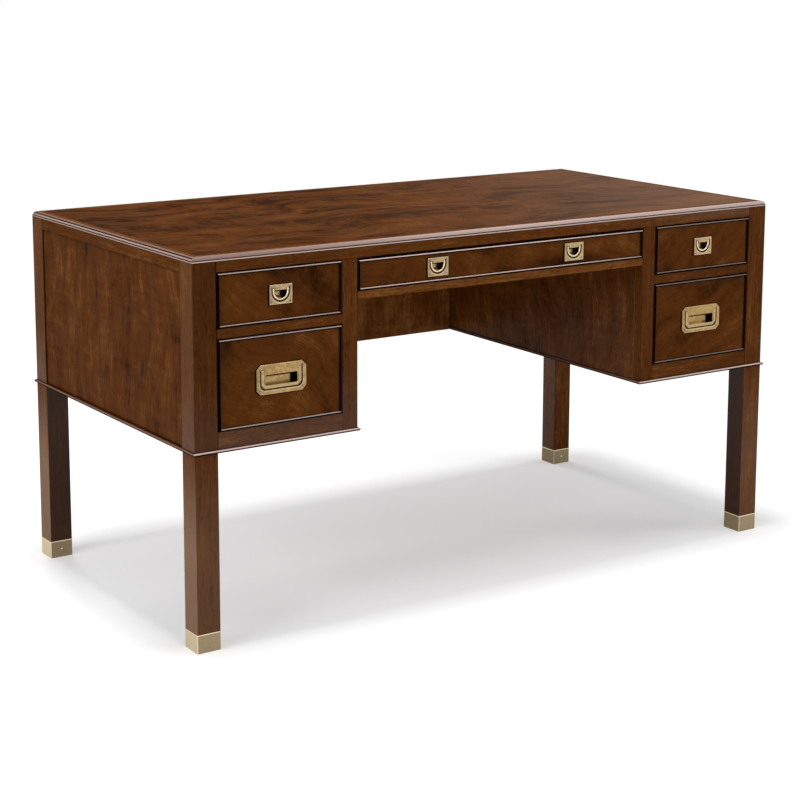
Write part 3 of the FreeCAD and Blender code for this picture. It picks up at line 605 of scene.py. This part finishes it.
def leg_relief(where):
    """Relief of a post: below the case its outer faces are painted paler as lit, ends most and more
    toward the feet, and its inner faces are painted dark as shade under their gloss, save on the
    back right leg, which stands free. Above, the front of the left post is painted darker than the
    rest, as shade."""
    low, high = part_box("leg_front_left")
    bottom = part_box("end_panel_left")[0].z
    x, y, z = split(where)
    end, face = outer_faces(x, y, low)
    under = ramp(z, bottom + 0.002, bottom - 0.002)
    hidden = (1.0 - larger(end, face)) * under * ramp(x + y, 0.8, 0.5)
    free = ramp(x, FACE_FROM - high.x, FACE_TO - high.x) * ramp(x + y, 0.5, 0.8, 0.0, 0.30) * under
    pale = (end * 0.24 + face * under * 0.07) * ramp(z, bottom + 0.02, bottom - 0.20, 0.15, 1.0)
    plain = ramp(x, 0.0, -0.6) * (1.0 - end) * (1.0 - under)
    glow = floor_glow(x, z) * (1.0 - under)
    return pale, hidden * 0.68 + plain * 0.28, hidden * 0.32 + free + glow * 0.6


def top_relief(where):
    """Relief of the top board: a painted sheen in the warm colour, with more gloss, growing toward
    the right and the front.
    """
    low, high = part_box("top_panel")
    x, y, _ = split(where)
    painted_sheen = ramp(x - y * 0.5, low.x * 0.9, high.x * 1.4)
    painted_sheen = painted_sheen * painted_sheen * 0.078
    return painted_sheen, 0.0, painted_sheen * 0.8


# ---------------- finishes

def new_material(name):
    """An empty material; gives it with its Object coordinates."""
    material = bpy.data.materials.new(name)
    material.use_nodes = True
    material.node_tree.nodes.clear()
    return material, put(material.node_tree, "ShaderNodeTexCoord")["Object"]


def surfaced(material, inputs, kind="ShaderNodeBsdfPrincipled"):
    """Closes a material with its last shader node; gives the material."""
    shader = put(material.node_tree, kind, inputs)
    put(material.node_tree, "ShaderNodeOutputMaterial", {"Surface": shader[0]})
    return material


def laid_figure(where, turn, shift, **settings):
    """The timber figure; turn lays its grain along an axis, shift picks a stretch of it, and
    settings are its other inputs, such as flame_scale for Flame Scale."""
    laid = put(where.tree, "ShaderNodeMapping",
               {"Vector": where, "Location": shift, "Rotation": turn}, vector_type="POINT")[0]
    inputs = {name.replace("_", " ").title(): value for name, value in settings.items()}
    return grouped("timber_figure", {"Vector": laid, **inputs})


def shade_and_wear_masks(where, corner, edge):
    """Masks of the corners and edges within those reaches."""
    return grouped("corner_and_edge", {"Vector": where, "Corner Reach": corner,
                                       "Edge Reach": edge})


def mahogany(name, turn, shift=(0.0, 0.0, 0.0), lift=0.0, sheen=1.0, joints=0.0, rubbed=0.0,
             carved=None, shine=1.0, tint=None, **settings):
    """Polished mahogany; turn, shift and settings lay, pick and set its figure.

    Joints is how dark the joint lines lie, in the glaze colour, along the piece's own edges, where
    it meets its neighbours; rubbed is how far the edges are worn. Carved gives the painted light,
    painted shade and gloss masks of a piece with relief: its light places get a painted highlight
    in the given tint, else in the polish colour, by the share shine; its dark ones get painted
    shade in the dark glaze colour."""
    timber = bpy.context.scene.desk_timber
    material, where = new_material(name)
    figure = laid_figure(where, turn, shift, **settings)
    wear_and_shade = shade_and_wear_masks(where, timber.crevice_reach, timber.edge_reach)
    tone = figure["Tone"] + lift
    body = blend(ramp(tone, 0.12, 0.52), timber.dark, timber.ground)
    body = blend(ramp(tone, 0.48, 0.95), body, timber.light)
    body = blend(figure["Pores"] * 0.45, body, timber.dark)
    # Corners and gaps are darkened to the glaze colour: part real glaze, part painted shade
    body = blend(wear_and_shade["Corner"] * 0.92, body, timber.glaze_and_shade)
    if joints:
        glazed = shade_and_wear_masks(where, timber.crevice_reach, timber.joint_reach)
        body = blend(glazed["Edge"] * joints, body, timber.glaze_and_shade)
    uneven = noise(where, 14.0, 3.0, 0.6)[0]
    coat = ramp(uneven, 0.3, 0.7, 0.7, 1.3) * (timber.sheen * sheen)
    if rubbed:
        body = blend(wear_and_shade["Edge"] * rubbed, body, timber.rubbed)
        coat = coat + wear_and_shade["Edge"] * EDGE_GLOSS
    if carved:
        pale, shaded, gloss = carved(where)
        pale = pale * shine
        # Painted shade on the dark places, then a painted highlight on the light ones
        body = blend(shaded, body, timber.glaze_and_shade)
        body = blend(pale, body, tint or timber.polish)
        coat = (coat + pale * 0.20) * (1.0 - shaded * shaded) + gloss
    rough = uneven * 0.14 + (timber.roughness - 0.07) + figure["Pores"] * 0.15
    return surfaced(material, {
        "Base Color": body, "Roughness": rough, "Coat Weight": coat, "Coat Roughness": 0.3,
        "Specular IOR Level": 0.0, "Normal": bump(figure["Height"], 0.10, 0.0004)})


def lining():
    """Waxed straight-grained timber of the drawer boxes and the runners."""
    timber = bpy.context.scene.desk_timber
    material, where = new_material("lining_timber")
    figure = laid_figure(where, ALONG_Y, (0.0, 0.0, 0.0), sweep=0.012, flame=0.25,
                         flame_scale=4.0, mottle=0.1, streak=0.8, streak_scale=110.0)
    body = blend(ramp(figure["Tone"], 0.15, 0.8), timber.lining_dark, timber.lining_light)
    body = blend(figure["Pores"] * 0.35, body, timber.lining_dark)
    return surfaced(material, {
        "Base Color": body, "Roughness": figure["Tone"] * 0.15 + 0.42,
        "Specular IOR Level": 0.15, "Normal": bump(figure["Height"], 0.12, 0.0004)})


def aged_brass(name, ground, high, corner=1.0, cloud=0.55, roughness=0.0, shaped=None):
    """The brass of that name, made when first wanted: a brown patina in its grooves and rubbed
    high places. Shaped gives the piece's own masks of painted highlight and painted shade in
    place of these, from its place and its corner and edge masks."""
    if name in bpy.data.materials:
        return bpy.data.materials[name]
    brass = bpy.context.scene.desk_brass
    material, where = new_material(name)
    patina = grouped("brass_patina", {"Vector": where})
    wear_and_shade = shade_and_wear_masks(where, BRASS_CORNER, brass.edge_reach)
    pale, shaded = shaped(where, wear_and_shade) if shaped else (wear_and_shade["Edge"], wear_and_shade["Corner"])
    body = blend(patina["Cloud"] * cloud, ground, high)
    body = blend(patina["Specks"] * 0.35, body, brass.stain_and_shade)
    # Pale rim colour: painted highlights on a shaped piece, rubbed edges on the others
    body = blend(pale * 0.8, body, brass.rim)
    # Stain colour: painted shade on a shaped piece, tarnish in the hollows of the others
    body = blend(shaded * corner, body, brass.stain_and_shade)
    rough = patina["Cloud"] * -0.08 + (brass.roughness + 0.04 + roughness) + shaded * 0.25
    return surfaced(material, {
        "Base Color": body, "Roughness": rough, "Metallic": 1.0,
        "Normal": bump(patina["Height"], 0.15, 0.0002)})


def plate_brass(kind):
    """Brass of one kind of pull plate: upper, centre or file."""
    brass = bpy.context.scene.desk_brass
    half = (brass.large_plate if kind == "file" else brass.small_plate) / 2

    def shaped(where, wear_and_shade):
        """Painted highlights on rim and lip; painted shade on walls, well, grooves, the left edge
        and the face's left half and corners.
        """
        masks = plate_masks(where, kind)
        across = masks["Across"]
        # Painted shade: the face darkens toward its left half and in its corners
        painted_face_shade = ramp(across, 0.0, -half, 0.0, 0.18) + wear_and_shade["Corner"] * 0.15
        # Painted shade: a dark strip along the left edge of the face
        edge = ramp(across, 0.0016 - half, 0.0006 - half, 0.0, 0.9)
        return (masks["Rim"] * 0.12 + masks["Lip"] * 0.35,
                larger(painted_face_shade, masks["Groove"] * 0.94, masks["Wall"], masks["Well"], edge))

    ground, high = (brass.aged, brass.bright) if kind == "file" else (brass.pale, brass.pale_high)
    return aged_brass(kind + "_plate_brass", ground, high, shaped=shaped)


def bail_shape(where, wear_and_shade):
    """A bail has a painted highlight where it faces up, and painted shade under it and on its
    sides.
    """
    _, forward, up = facing(where.tree)
    shaded = larger(ramp(abs(forward), 0.42, 0.15, 0.0, 0.7), ramp(up, -0.25, -0.75))
    return ramp(up, 0.20, 0.60, 0.08, 0.42), shaded * ramp(up, 0.5, 0.2)


def ferrule_shape(where, wear_and_shade):
    """A ferrule has painted highlights at its rim, its ends and its arrises, and painted shade on
    its other faces, most on those turned under the desk.
    """
    low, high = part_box("ferrule_front_left")
    x, y, z = split(where)
    end, face = outer_faces(x, y, low)
    rim = ramp(z, high.z - 0.0022, high.z - 0.0012)
    beside = abs(abs(x) + (low.x + high.x) / 2) + abs(abs(y) + (low.y + high.y) / 2)
    arris = ramp((high.x - low.x) - beside, 0.0022, 0.0010, 0.0, 0.75)
    shaded = (1.0 - end) * 0.38 + (1.0 - larger(end, face)) * 0.24
    return larger(end * 0.46, rim, arris), shaded * (1.0 - rim)


def bail_brass(size):
    """The brass that all the large or all the small bails share, with painted highlights and shade;
    the small are paler.
    """
    brass = bpy.context.scene.desk_brass
    ground, high = (brass.bail, brass.bright) if size == "large" else (brass.pale_high, brass.rim)
    return aged_brass(size + "_bail_brass", ground, high, shaped=bail_shape)


def finish(nodes, material):
    """Gives CAD nodes a material through their own slots."""
    for name in nodes:
        mesh = frame["nodes"][name].data
        if not mesh.materials:
            mesh.materials.append(material)
        for slot in range(len(mesh.materials)):
            mesh.materials[slot] = material


def polish(nodes, *figure, **settings):
    """Gives CAD nodes a polished mahogany of their own."""
    finish(nodes, mahogany(*figure, **settings))


# ---------------- new surfaces

def rolled_grid(rows, columns, closed):
    """Quads of a rows by columns grid; closed also joins the last column to the first."""
    last = columns if closed else columns - 1
    row, column = np.meshgrid(np.arange(rows - 1), np.arange(last), indexing="ij")
    near = row * columns + column
    across = row * columns + (column + 1) % columns
    return np.stack([near, across, across + columns, near + columns], axis=-1).reshape(-1, 4)


def closed_poles(quads):
    """Faces of the quads; where a whole row has shrunk to one shared point, a face is the
    triangle that is left of its quad."""
    first, last = quads[:, 0] == quads[:, 1], quads[:, 2] == quads[:, 3]
    return (quads[~(first | last)].tolist() + quads[first][:, [0, 2, 3]].tolist()
            + quads[last][:, [0, 1, 2]].tolist())


def stand(name, data):
    """A new object of the scene with that data."""
    thing = bpy.data.objects.new(name, data)
    bpy.context.scene.collection.objects.link(thing)
    return thing


def new_piece(name, surfaces, material, body):
    """One smooth object from (points, quads) surfaces, riding on a body."""
    points = np.concatenate([grid for grid, _ in surfaces])
    starts = np.cumsum([0] + [len(grid) for grid, _ in surfaces[:-1]])
    quads = np.concatenate([quads + start for (_, quads), start in zip(surfaces, starts)])
    points, merged = np.unique(points.round(8), axis=0, return_inverse=True)
    mesh = bpy.data.meshes.new(name)
    mesh.from_pydata(points.tolist(), [], closed_poles(merged.reshape(-1)[quads]))
    mesh.validate()
    mesh.shade_smooth()
    mesh.materials.append(material)
    piece = stand(name, mesh)
    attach(piece, body)
    return piece


def swept_wire(centres, sideways, radius):
    """A tube: each point is its centre plus radius times cos of the angle along its sideways
    direction plus sin of the angle along Y; its two ends stay open inside the balls."""
    turn = np.linspace(0.0, 2 * math.pi, ROUND_STEPS, endpoint=False)
    ring = (np.cos(turn)[None, :, None] * sideways[:, None, :]
            + np.sin(turn)[None, :, None] * np.array([0.0, 1.0, 0.0]))
    points = centres[:, None, :] + radius * ring
    return points.reshape(-1, 3), rolled_grid(len(centres), ROUND_STEPS, True)


def ball(centre, radius):
    """A sphere from pole to pole: height is cos of the polar angle and width is its sin."""
    polar = np.linspace(0.0, math.pi, BALL_STEPS)[:, None]
    turn = np.linspace(0.0, 2 * math.pi, ROUND_STEPS, endpoint=False)[None, :]
    points = np.stack([np.sin(polar) * np.cos(turn), np.sin(polar) * np.sin(turn),
                       np.cos(polar) * np.ones_like(turn)], axis=-1)
    quads = rolled_grid(BALL_STEPS, ROUND_STEPS, True)[:, ::-1]
    return np.asarray(centre) + radius * points.reshape(-1, 3), quads


def bail_route(low, high, pivot, wire):
    """A U: down one arm, round a half circle, up the other; gives centres and inward normals."""
    radius = (high.x - low.x) / 2
    middle = (high.x + low.x) / 2
    turn = np.linspace(0.0, math.pi, ARC_STEPS)
    centre_z = low.z + radius + wire / 2
    arm = np.linspace(pivot[2], centre_z, ARM_STEPS + 1)[:-1]
    one, none = np.ones(ARM_STEPS), np.zeros(ARM_STEPS)
    inward_x = np.concatenate([one, np.cos(turn), -one])
    inward_z = np.concatenate([none, np.sin(turn), none])
    x = middle - radius * inward_x
    z = np.concatenate([arm, centre_z - radius * np.sin(turn), arm[::-1]])
    centres = np.stack([x, np.full_like(x, pivot[1]), z], axis=-1)
    return centres, np.stack([inward_x, np.zeros_like(x), inward_z], axis=-1)


def bow_width(node):
    """Width across the bow of a bail, read over its lower part where no pins stand out."""
    mesh = frame["nodes"][node].data
    points = np.empty(len(mesh.vertices) * 3)
    mesh.vertices.foreach_get("co", points)
    x, _, z = points.reshape(-1, 3).T
    bow = x[z < z.min() + (z.max() - z.min()) * BOW_SHARE]
    return float(bow.max() - bow.min())


def screw_head(centre, outward, diameter, dome, slot=0.0, turn=0.0):
    """A low-domed head: height falls as the square of the radius to a rim sunk in the plate,
    and drops to the slot's floor within half the slot's width of a line across it."""
    outward, up = np.asarray(outward, float), np.array([0.0, 0.0, 1.0])
    side = np.cross(up, outward)
    radius = np.linspace(0.0, 1.0, HEAD_RINGS)[:, None] ** 0.8
    angles = np.linspace(0.0, 2 * math.pi, HEAD_STEPS, endpoint=False)[None, :]
    u = radius * np.cos(angles) * diameter / 2
    v = radius * np.sin(angles) * diameter / 2
    height = dome * (1 - 0.55 * radius ** 2) + 0 * angles
    height = np.where(radius > 0.97, -SCREW_SINK, height)
    if slot > 0:
        across = np.abs(-math.sin(turn) * u + math.cos(turn) * v)
        floor = dome * 0.18
        cut = np.clip((across - slot / 2) / (slot * 0.25), 0.0, 1.0)
        height = np.where(height > floor, floor + (height - floor) * cut, height)
    points = (np.asarray(centre) + u[..., None] * side + v[..., None] * up
              + height[..., None] * outward)
    return points.reshape(-1, 3), rolled_grid(HEAD_RINGS, HEAD_STEPS, True)


def corners_of(low, high, edge):
    """The four points that lie the given distance in from a plate's corners."""
    return [(x, z) for x in (low.x + edge, high.x - edge) for z in (low.z + edge, high.z - edge)]


# ---------------- operators

class DESK_OT_finish_top(bpy.types.Operator):
    """Figured veneer on the top board and straight grain on its edge moulding"""
    bl_idname = "desk.finish_top"
    bl_label = "Finish the top"

    def execute(self, context):
        timber = context.scene.desk_timber
        # The top carries a painted sheen and its moulding painted highlights and shade
        polish(["top_panel"], "top_flame_veneer", ALONG_X, (0.3, 0.1, 0.0), sweep=0.14, flame=0.8,
               flame_scale=10.0, mottle=0.6, streak=0.4, streak_scale=80.0, lift=-0.12,
               sheen=0.5, carved=top_relief, tint=timber.warm_painted_light)
        polish(["top_moulding"], "top_moulding_polish", ALONG_X, flame=0.2, mottle=0.3,
               streak=0.4, lift=0.06, sheen=0.7, carved=lip_relief, tint=timber.lip)
        return {"FINISHED"}


class DESK_OT_finish_case(bpy.types.Operator):
    """Mahogany on the posts, rails, stiles, panels and nosing"""
    bl_idname = "desk.finish_case"
    bl_label = "Finish the case"

    def execute(self, context):
        warm_painted_light = context.scene.desk_timber.warm_painted_light
        plain = {"mottle": 0.35, "joints": 0.8}
        # Rails and stiles carry painted light near the top right and are darker low down
        polish(RAILS, "rail_mahogany", ALONG_X, (0.7, 0.0, 0.2), sweep=0.02, **plain,
               carved=frame_relief, tint=warm_painted_light)
        # Lifted paler than the other rails: painted light on a rail that lies in the kneehole's
        # shade
        polish(["kneehole_rail"], "kneehole_rail_mahogany", ALONG_X, (0.2, 0.5, 0.4), sweep=0.02,
               **plain, lift=0.20)
        # The posts carry painted light on their outer faces and painted shade on their inner ones
        polish(both("leg_front_", "leg_back_"), "post_mahogany", ALONG_Z, (0.1, 0.4, 0.0),
               sweep=0.015, **plain, sheen=0.9, carved=leg_relief, tint=warm_painted_light)
        polish(both("front_stile_"), "stile_mahogany", ALONG_Z, (0.6, 0.1, 0.0), sweep=0.015,
               mottle=0.35, joints=0.7, carved=frame_relief, tint=warm_painted_light)
        polish(both("end_top_rail_"), "end_rail_mahogany", ALONG_Y, (0.2, 0.3, 0.1), sweep=0.02,
               **plain)
        # The nosing carries a painted highlight above and painted shade below
        polish(both("base_nosing_"), "nosing_mahogany", ALONG_X, flame=0.2, mottle=0.2,
               lift=0.04, carved=nosing_relief)
        polish(both("end_panel_"), "end_panel_veneer", ALONG_Z, (0.5, 0.2, 0.3), sweep=0.09,
               flame=0.5, flame_scale=9.0, mottle=0.8, streak=0.4, lift=-0.02, joints=0.9)
        # Lifted paler: painted light on the back panel, seen in the kneehole's shade
        polish(["back_panel"], "back_panel_veneer", ALONG_Z, (0.9, 0.7, 0.1), sweep=0.09,
               flame=0.5, flame_scale=8.0, mottle=0.8, streak=0.4, lift=0.16, rubbed=RUBBED)
        polish(both("kneehole_side_"), "kneehole_board_veneer", ALONG_Z, (0.3, 0.6, 0.2),
               sweep=0.08, mottle=0.7, sheen=2.0, rubbed=RUBBED)
        return {"FINISHED"}


class DESK_OT_finish_inside(bpy.types.Operator):
    """Plain waxed timber on the drawer boxes, runners and bearers, and mahogany on the pedestal
    bottoms
    """
    bl_idname = "desk.finish_inside"
    bl_label = "Finish the inside"

    def execute(self, context):
        finish(LINED, lining())
        polish(both("pedestal_bottom_"), "bottom_board_mahogany", ALONG_Y, flame=0.3, lift=-0.05,
               rubbed=RUBBED)
        return {"FINISHED"}


class DESK_OT_finish_drawer_fronts(bpy.types.Operator):
    """Flame mahogany on the drawer fronts, a different stretch of veneer on each"""
    bl_idname = "desk.finish_drawer_fronts"
    bl_label = "Finish the drawer fronts"

    def execute(self, context):
        lean = math.radians(-35)
        fronts = [(name + side, lean * mirror, (0.37 * row, 0.21, 0.53 * row + 0.1 * mirror))
                  for row, name in enumerate(("upper_drawer_front_", "file_drawer_front_"))
                  for side, mirror in zip(SIDES, (1.0, -1.0))]
        fronts.append(("centre_drawer_front", lean * 0.6, (0.15, 0.4, 0.8)))
        for name, turn, shift in fronts:
            kind = name.split("_")[0]
            # Painted highlights and shade on the cockbeads, and a painted shadow beside the plate;
            # shine sets the highlights' strength
            polish([name], name + "_veneer", (0.0, turn, 0.0), shift, sweep=0.13, flame=0.8,
                   flame_scale=11.0, mottle=0.6, streak=0.28, lift=-0.05, sheen=0.6,
                   carved=front_relief(kind), shine=1.0 if kind == "centre" else 0.65)
        return {"FINISHED"}


class DESK_OT_finish_pull_plates(bpy.types.Operator):
    """Aged brass on the pull plates and on the two large bails"""
    bl_idname = "desk.finish_pull_plates"
    bl_label = "Finish the pull plates"

    def execute(self, context):
        # Plates and large bails carry painted highlights and painted shade
        finish(["centre_pull_plates"], plate_brass("centre"))
        for kind in ("upper", "file"):
            finish(both(kind + "_pull_plate_"), plate_brass(kind))
        finish(both("file_pull_bail_"), bail_brass("large"))
        return {"FINISHED"}


class DESK_OT_fit_small_bails(bpy.types.Operator):
    """Round-wire bails with ball ends, one on each small plate"""
    bl_idname = "desk.fit_small_bails"
    bl_label = "Fit the small bails"

    def execute(self, context):
        brass = context.scene.desk_brass
        for kind in ("upper", "centre"):
            for side in SIDES:
                node = f"{kind}_pull_bail_{side}"
                pivot = JOINTS[f"{kind}_bail_{side}_pivot"]["pos_m"]
                low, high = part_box(node)
                half = (bow_width(node) - brass.wire) / 2
                low.x, high.x = pivot[0] - half, pivot[0] + half
                centres, inward = bail_route(low, high, pivot, brass.wire)
                surfaces = [swept_wire(centres, inward, brass.wire / 2)] + [
                    ball((x, pivot[1], pivot[2]), brass.ball / 2) for x in (low.x, high.x)]
                bail = new_piece(f"{kind}_bail_wire_{side}", surfaces, bail_brass("small"),
                                 f"{kind}_bail_{side}")
                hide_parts(node)
        return {"FINISHED"}


class DESK_OT_fit_plate_screws(bpy.types.Operator):
    """Four slotted screws in each pull plate"""
    bl_idname = "desk.fit_plate_screws"
    bl_label = "Fit the plate screws"

    def execute(self, context):
        brass = context.scene.desk_brass
        small = (brass.small_screw, brass.small_screw_edge)
        large = (brass.large_screw, brass.large_screw_edge)
        jobs = [(f"{kind}_drawer_{side}", [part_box(f"{kind}_pull_plate_{side}")], sizes)
                for side in SIDES for kind, sizes in (("upper", small), ("file", large))]
        low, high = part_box("centre_pull_plates")
        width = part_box("upper_pull_plate_left")[1].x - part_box("upper_pull_plate_left")[0].x
        pair = [(low, Vector((low.x + width, high.y, high.z))),
                (Vector((high.x - width, low.y, low.z)), high)]
        jobs.append(("centre_drawer", pair, small))
        turns = iter(np.random.default_rng(7).uniform(0.0, math.pi, SCREWS))
        metal = aged_brass("screw_brass", brass.stain_and_shade, brass.aged)
        for body, plates, (diameter, edge) in jobs:
            heads = [screw_head((x, low.y, z), (0, -1, 0), diameter, brass.screw_dome,
                                brass.screw_slot, next(turns))
                     for low, high in plates for x, z in corners_of(low, high, edge)]
            new_piece(body + "_screws", heads, metal, body)
        return {"FINISHED"}


class DESK_OT_finish_ferrules(bpy.types.Operator):
    """Satin brass on the ferrules, and the pin that holds each one"""
    bl_idname = "desk.finish_ferrules"
    bl_label = "Finish the ferrules"

    def execute(self, context):
        brass = context.scene.desk_brass
        # The ferrules carry painted highlights and painted shade from ferrule_shape
        satin = aged_brass("satin_ferrule_brass", brass.ferrule, brass.ferrule, corner=0.6,
                           cloud=0.2, roughness=0.14, shaped=ferrule_shape)
        finish(FERRULES, satin)
        pins = []
        for name in FERRULES:
            low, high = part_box(name)
            inward, face = (1, high.y) if low.y < 0 else (-1, low.y)
            centre = ((low.x + high.x) / 2, face, (low.z + high.z) / 2)
            pins.append(screw_head(centre, (0, inward, 0), brass.ferrule_pin, brass.pin_dome))
        metal = aged_brass("ferrule_pin_brass", brass.rim, brass.rim)
        new_piece("ferrule_pins", pins, metal, "case")
        return {"FINISHED"}


class DESK_OT_set_stage(bpy.types.Operator):
    """Pale floor, soft lamps, even studio light and the camera"""
    bl_idname = "desk.set_stage"
    bl_label = "Set the stage"

    def execute(self, context):
        stage = context.scene.desk_stage
        lay_floor(stage)
        light_studio(stage)
        middle = Vector((0.0, 0.0, (cad_low.z + cad_high.z) / 2))
        for name in LAMPS:
            hang_lamp(stage, name, middle)
        stand_camera(stage)
        return {"FINISHED"}


def seen_directly(tree):
    """1 where the camera, a gloss or a clear piece looks straight at the surface."""
    path = put(tree, "ShaderNodeLightPath")
    seen = path["Is Camera Ray"] + path["Is Glossy Ray"] + path["Is Transmission Ray"]
    return maths("MINIMUM", seen, 1.0)


def lay_floor(stage):
    """A plain square floor that keeps the desk's shadow and adds a little light of its own."""
    half = stage.floor_size / 2
    span = np.linspace(-half, half, FLOOR_STEPS)
    x, y = np.meshgrid(span, span, indexing="xy")
    points = np.stack([x, y, np.zeros_like(x)], axis=-1).reshape(-1, 3)
    mesh = bpy.data.meshes.new("studio_floor")
    mesh.from_pydata(points.tolist(), [], rolled_grid(FLOOR_STEPS, FLOOR_STEPS, False).tolist())
    material, where = new_material("studio_floor_paint")
    tree = where.tree
    away = put(tree, "ShaderNodeVectorMath", {0: where}, operation="LENGTH")["Value"]
    seen = seen_directly(tree)
    faded = ramp(away, stage.floor_clear * 0.4, stage.floor_clear) * seen
    paint = put(tree, "ShaderNodeBsdfDiffuse",
                {"Color": blend(faded, stage.floor_colour, (0.0, 0.0, 0.0))})[0]
    glow = seen * stage.floor_lift + faded * (1.0 - stage.floor_lift)
    glow = put(tree, "ShaderNodeEmission", {"Strength": glow})[0]
    mesh.materials.append(surfaced(material, {0: paint, 1: glow}, "ShaderNodeAddShader"))
    floor = stand("studio_floor", mesh)


def light_studio(stage):
    """Even light from all round; white where the camera, a gloss or a clear piece sees it."""
    world = bpy.data.worlds.new("studio")
    bpy.context.scene.world = world
    world.use_nodes = True
    tree = world.node_tree
    tree.nodes.clear()
    strength = seen_directly(tree) * (1.0 - stage.world_strength) + stage.world_strength
    light = put(tree, "ShaderNodeBackground", {"Color": (1.0, 1.0, 1.0, 1.0),
                                               "Strength": strength})
    put(tree, "ShaderNodeOutputWorld", {"Surface": light[0]})


def hang_lamp(stage, name, target):
    """A square area lamp that faces the desk."""
    lamp = bpy.data.lights.new(name + "_lamp", "AREA")
    lamp.shape = "SQUARE"
    lamp.size = getattr(stage, name + "_size")
    lamp.energy = getattr(stage, name + "_power")
    holder = stand(name + "_lamp", lamp)
    holder.location = getattr(stage, name + "_place")
    holder.rotation_euler = (target - holder.location).to_track_quat("-Z", "Y").to_euler()


def stand_camera(stage):
    """A camera on a level tripod head, dipped a little, its lens let down slightly."""
    yaw, dip, roll = stage.camera_yaw, stage.camera_dip, stage.camera_roll
    level = Vector((math.sin(yaw), math.cos(yaw), 0.0))
    forward = level * math.cos(dip) - Vector((0.0, 0.0, math.sin(dip)))
    across = Vector((math.cos(yaw), -math.sin(yaw), 0.0))
    above = across.cross(forward)
    right = across * math.cos(roll) + above * math.sin(roll)
    up = above * math.cos(roll) - across * math.sin(roll)
    lens = bpy.data.cameras.new("studio_camera")
    lens.sensor_width = 36.0
    lens.lens = stage.camera_lens
    lens.shift_y = stage.camera_shift
    camera = stand("studio_camera", lens)
    turn = Matrix((right, up, -forward)).transposed().to_4x4()
    camera.matrix_world = Matrix.Translation(stage.camera_place) @ turn
    bpy.context.scene.camera = camera


class DESK_PT_finish(bpy.types.Panel):
    """Lists the desk's settings and steps"""
    bl_idname = "DESK_PT_finish"
    bl_label = "Campaign desk"
    bl_space_type = "VIEW_3D"
    bl_region_type = "UI"
    bl_category = "Desk"

    def draw(self, context):
        layout = self.layout
        for group in SETTINGS:
            settings, box = getattr(context.scene, group), layout.box()
            for name in settings.bl_rna.properties.keys():
                if name not in ("name", "rna_type"):
                    box.prop(settings, name)
        for operator in OPERATORS:
            layout.operator(operator.bl_idname)


SETTINGS = {"desk_timber": DeskTimberSettings, "desk_brass": DeskBrassSettings,
            "desk_stage": DeskStageSettings}
OPERATORS = (DESK_OT_finish_top, DESK_OT_finish_case, DESK_OT_finish_inside,
             DESK_OT_finish_drawer_fronts, DESK_OT_finish_pull_plates, DESK_OT_fit_small_bails,
             DESK_OT_fit_plate_screws, DESK_OT_finish_ferrules, DESK_OT_set_stage)


def register():
    """Makes the settings, operators and panel known."""
    for name, group in SETTINGS.items():
        bpy.utils.register_class(group)
        setattr(bpy.types.Scene, name, bpy.props.PointerProperty(type=group))
    for operator in OPERATORS:
        bpy.utils.register_class(operator)
    bpy.utils.register_class(DESK_PT_finish)


def unregister():
    """Takes them away again."""
    bpy.utils.unregister_class(DESK_PT_finish)
    for operator in reversed(OPERATORS):
        bpy.utils.unregister_class(operator)
    for name, group in SETTINGS.items():
        delattr(bpy.types.Scene, name)
        bpy.utils.unregister_class(group)


def main():
    """Runs every step in order."""
    register()
    bpy.context.scene.view_settings.view_transform = "Standard"
    bpy.ops.desk.finish_top()
    bpy.ops.desk.finish_case()
    bpy.ops.desk.finish_inside()
    bpy.ops.desk.finish_drawer_fronts()
    bpy.ops.desk.finish_pull_plates()
    bpy.ops.desk.fit_small_bails()
    bpy.ops.desk.fit_plate_screws()
    bpy.ops.desk.finish_ferrules()
    bpy.ops.desk.set_stage()


if __name__ == "__main__":
    main()
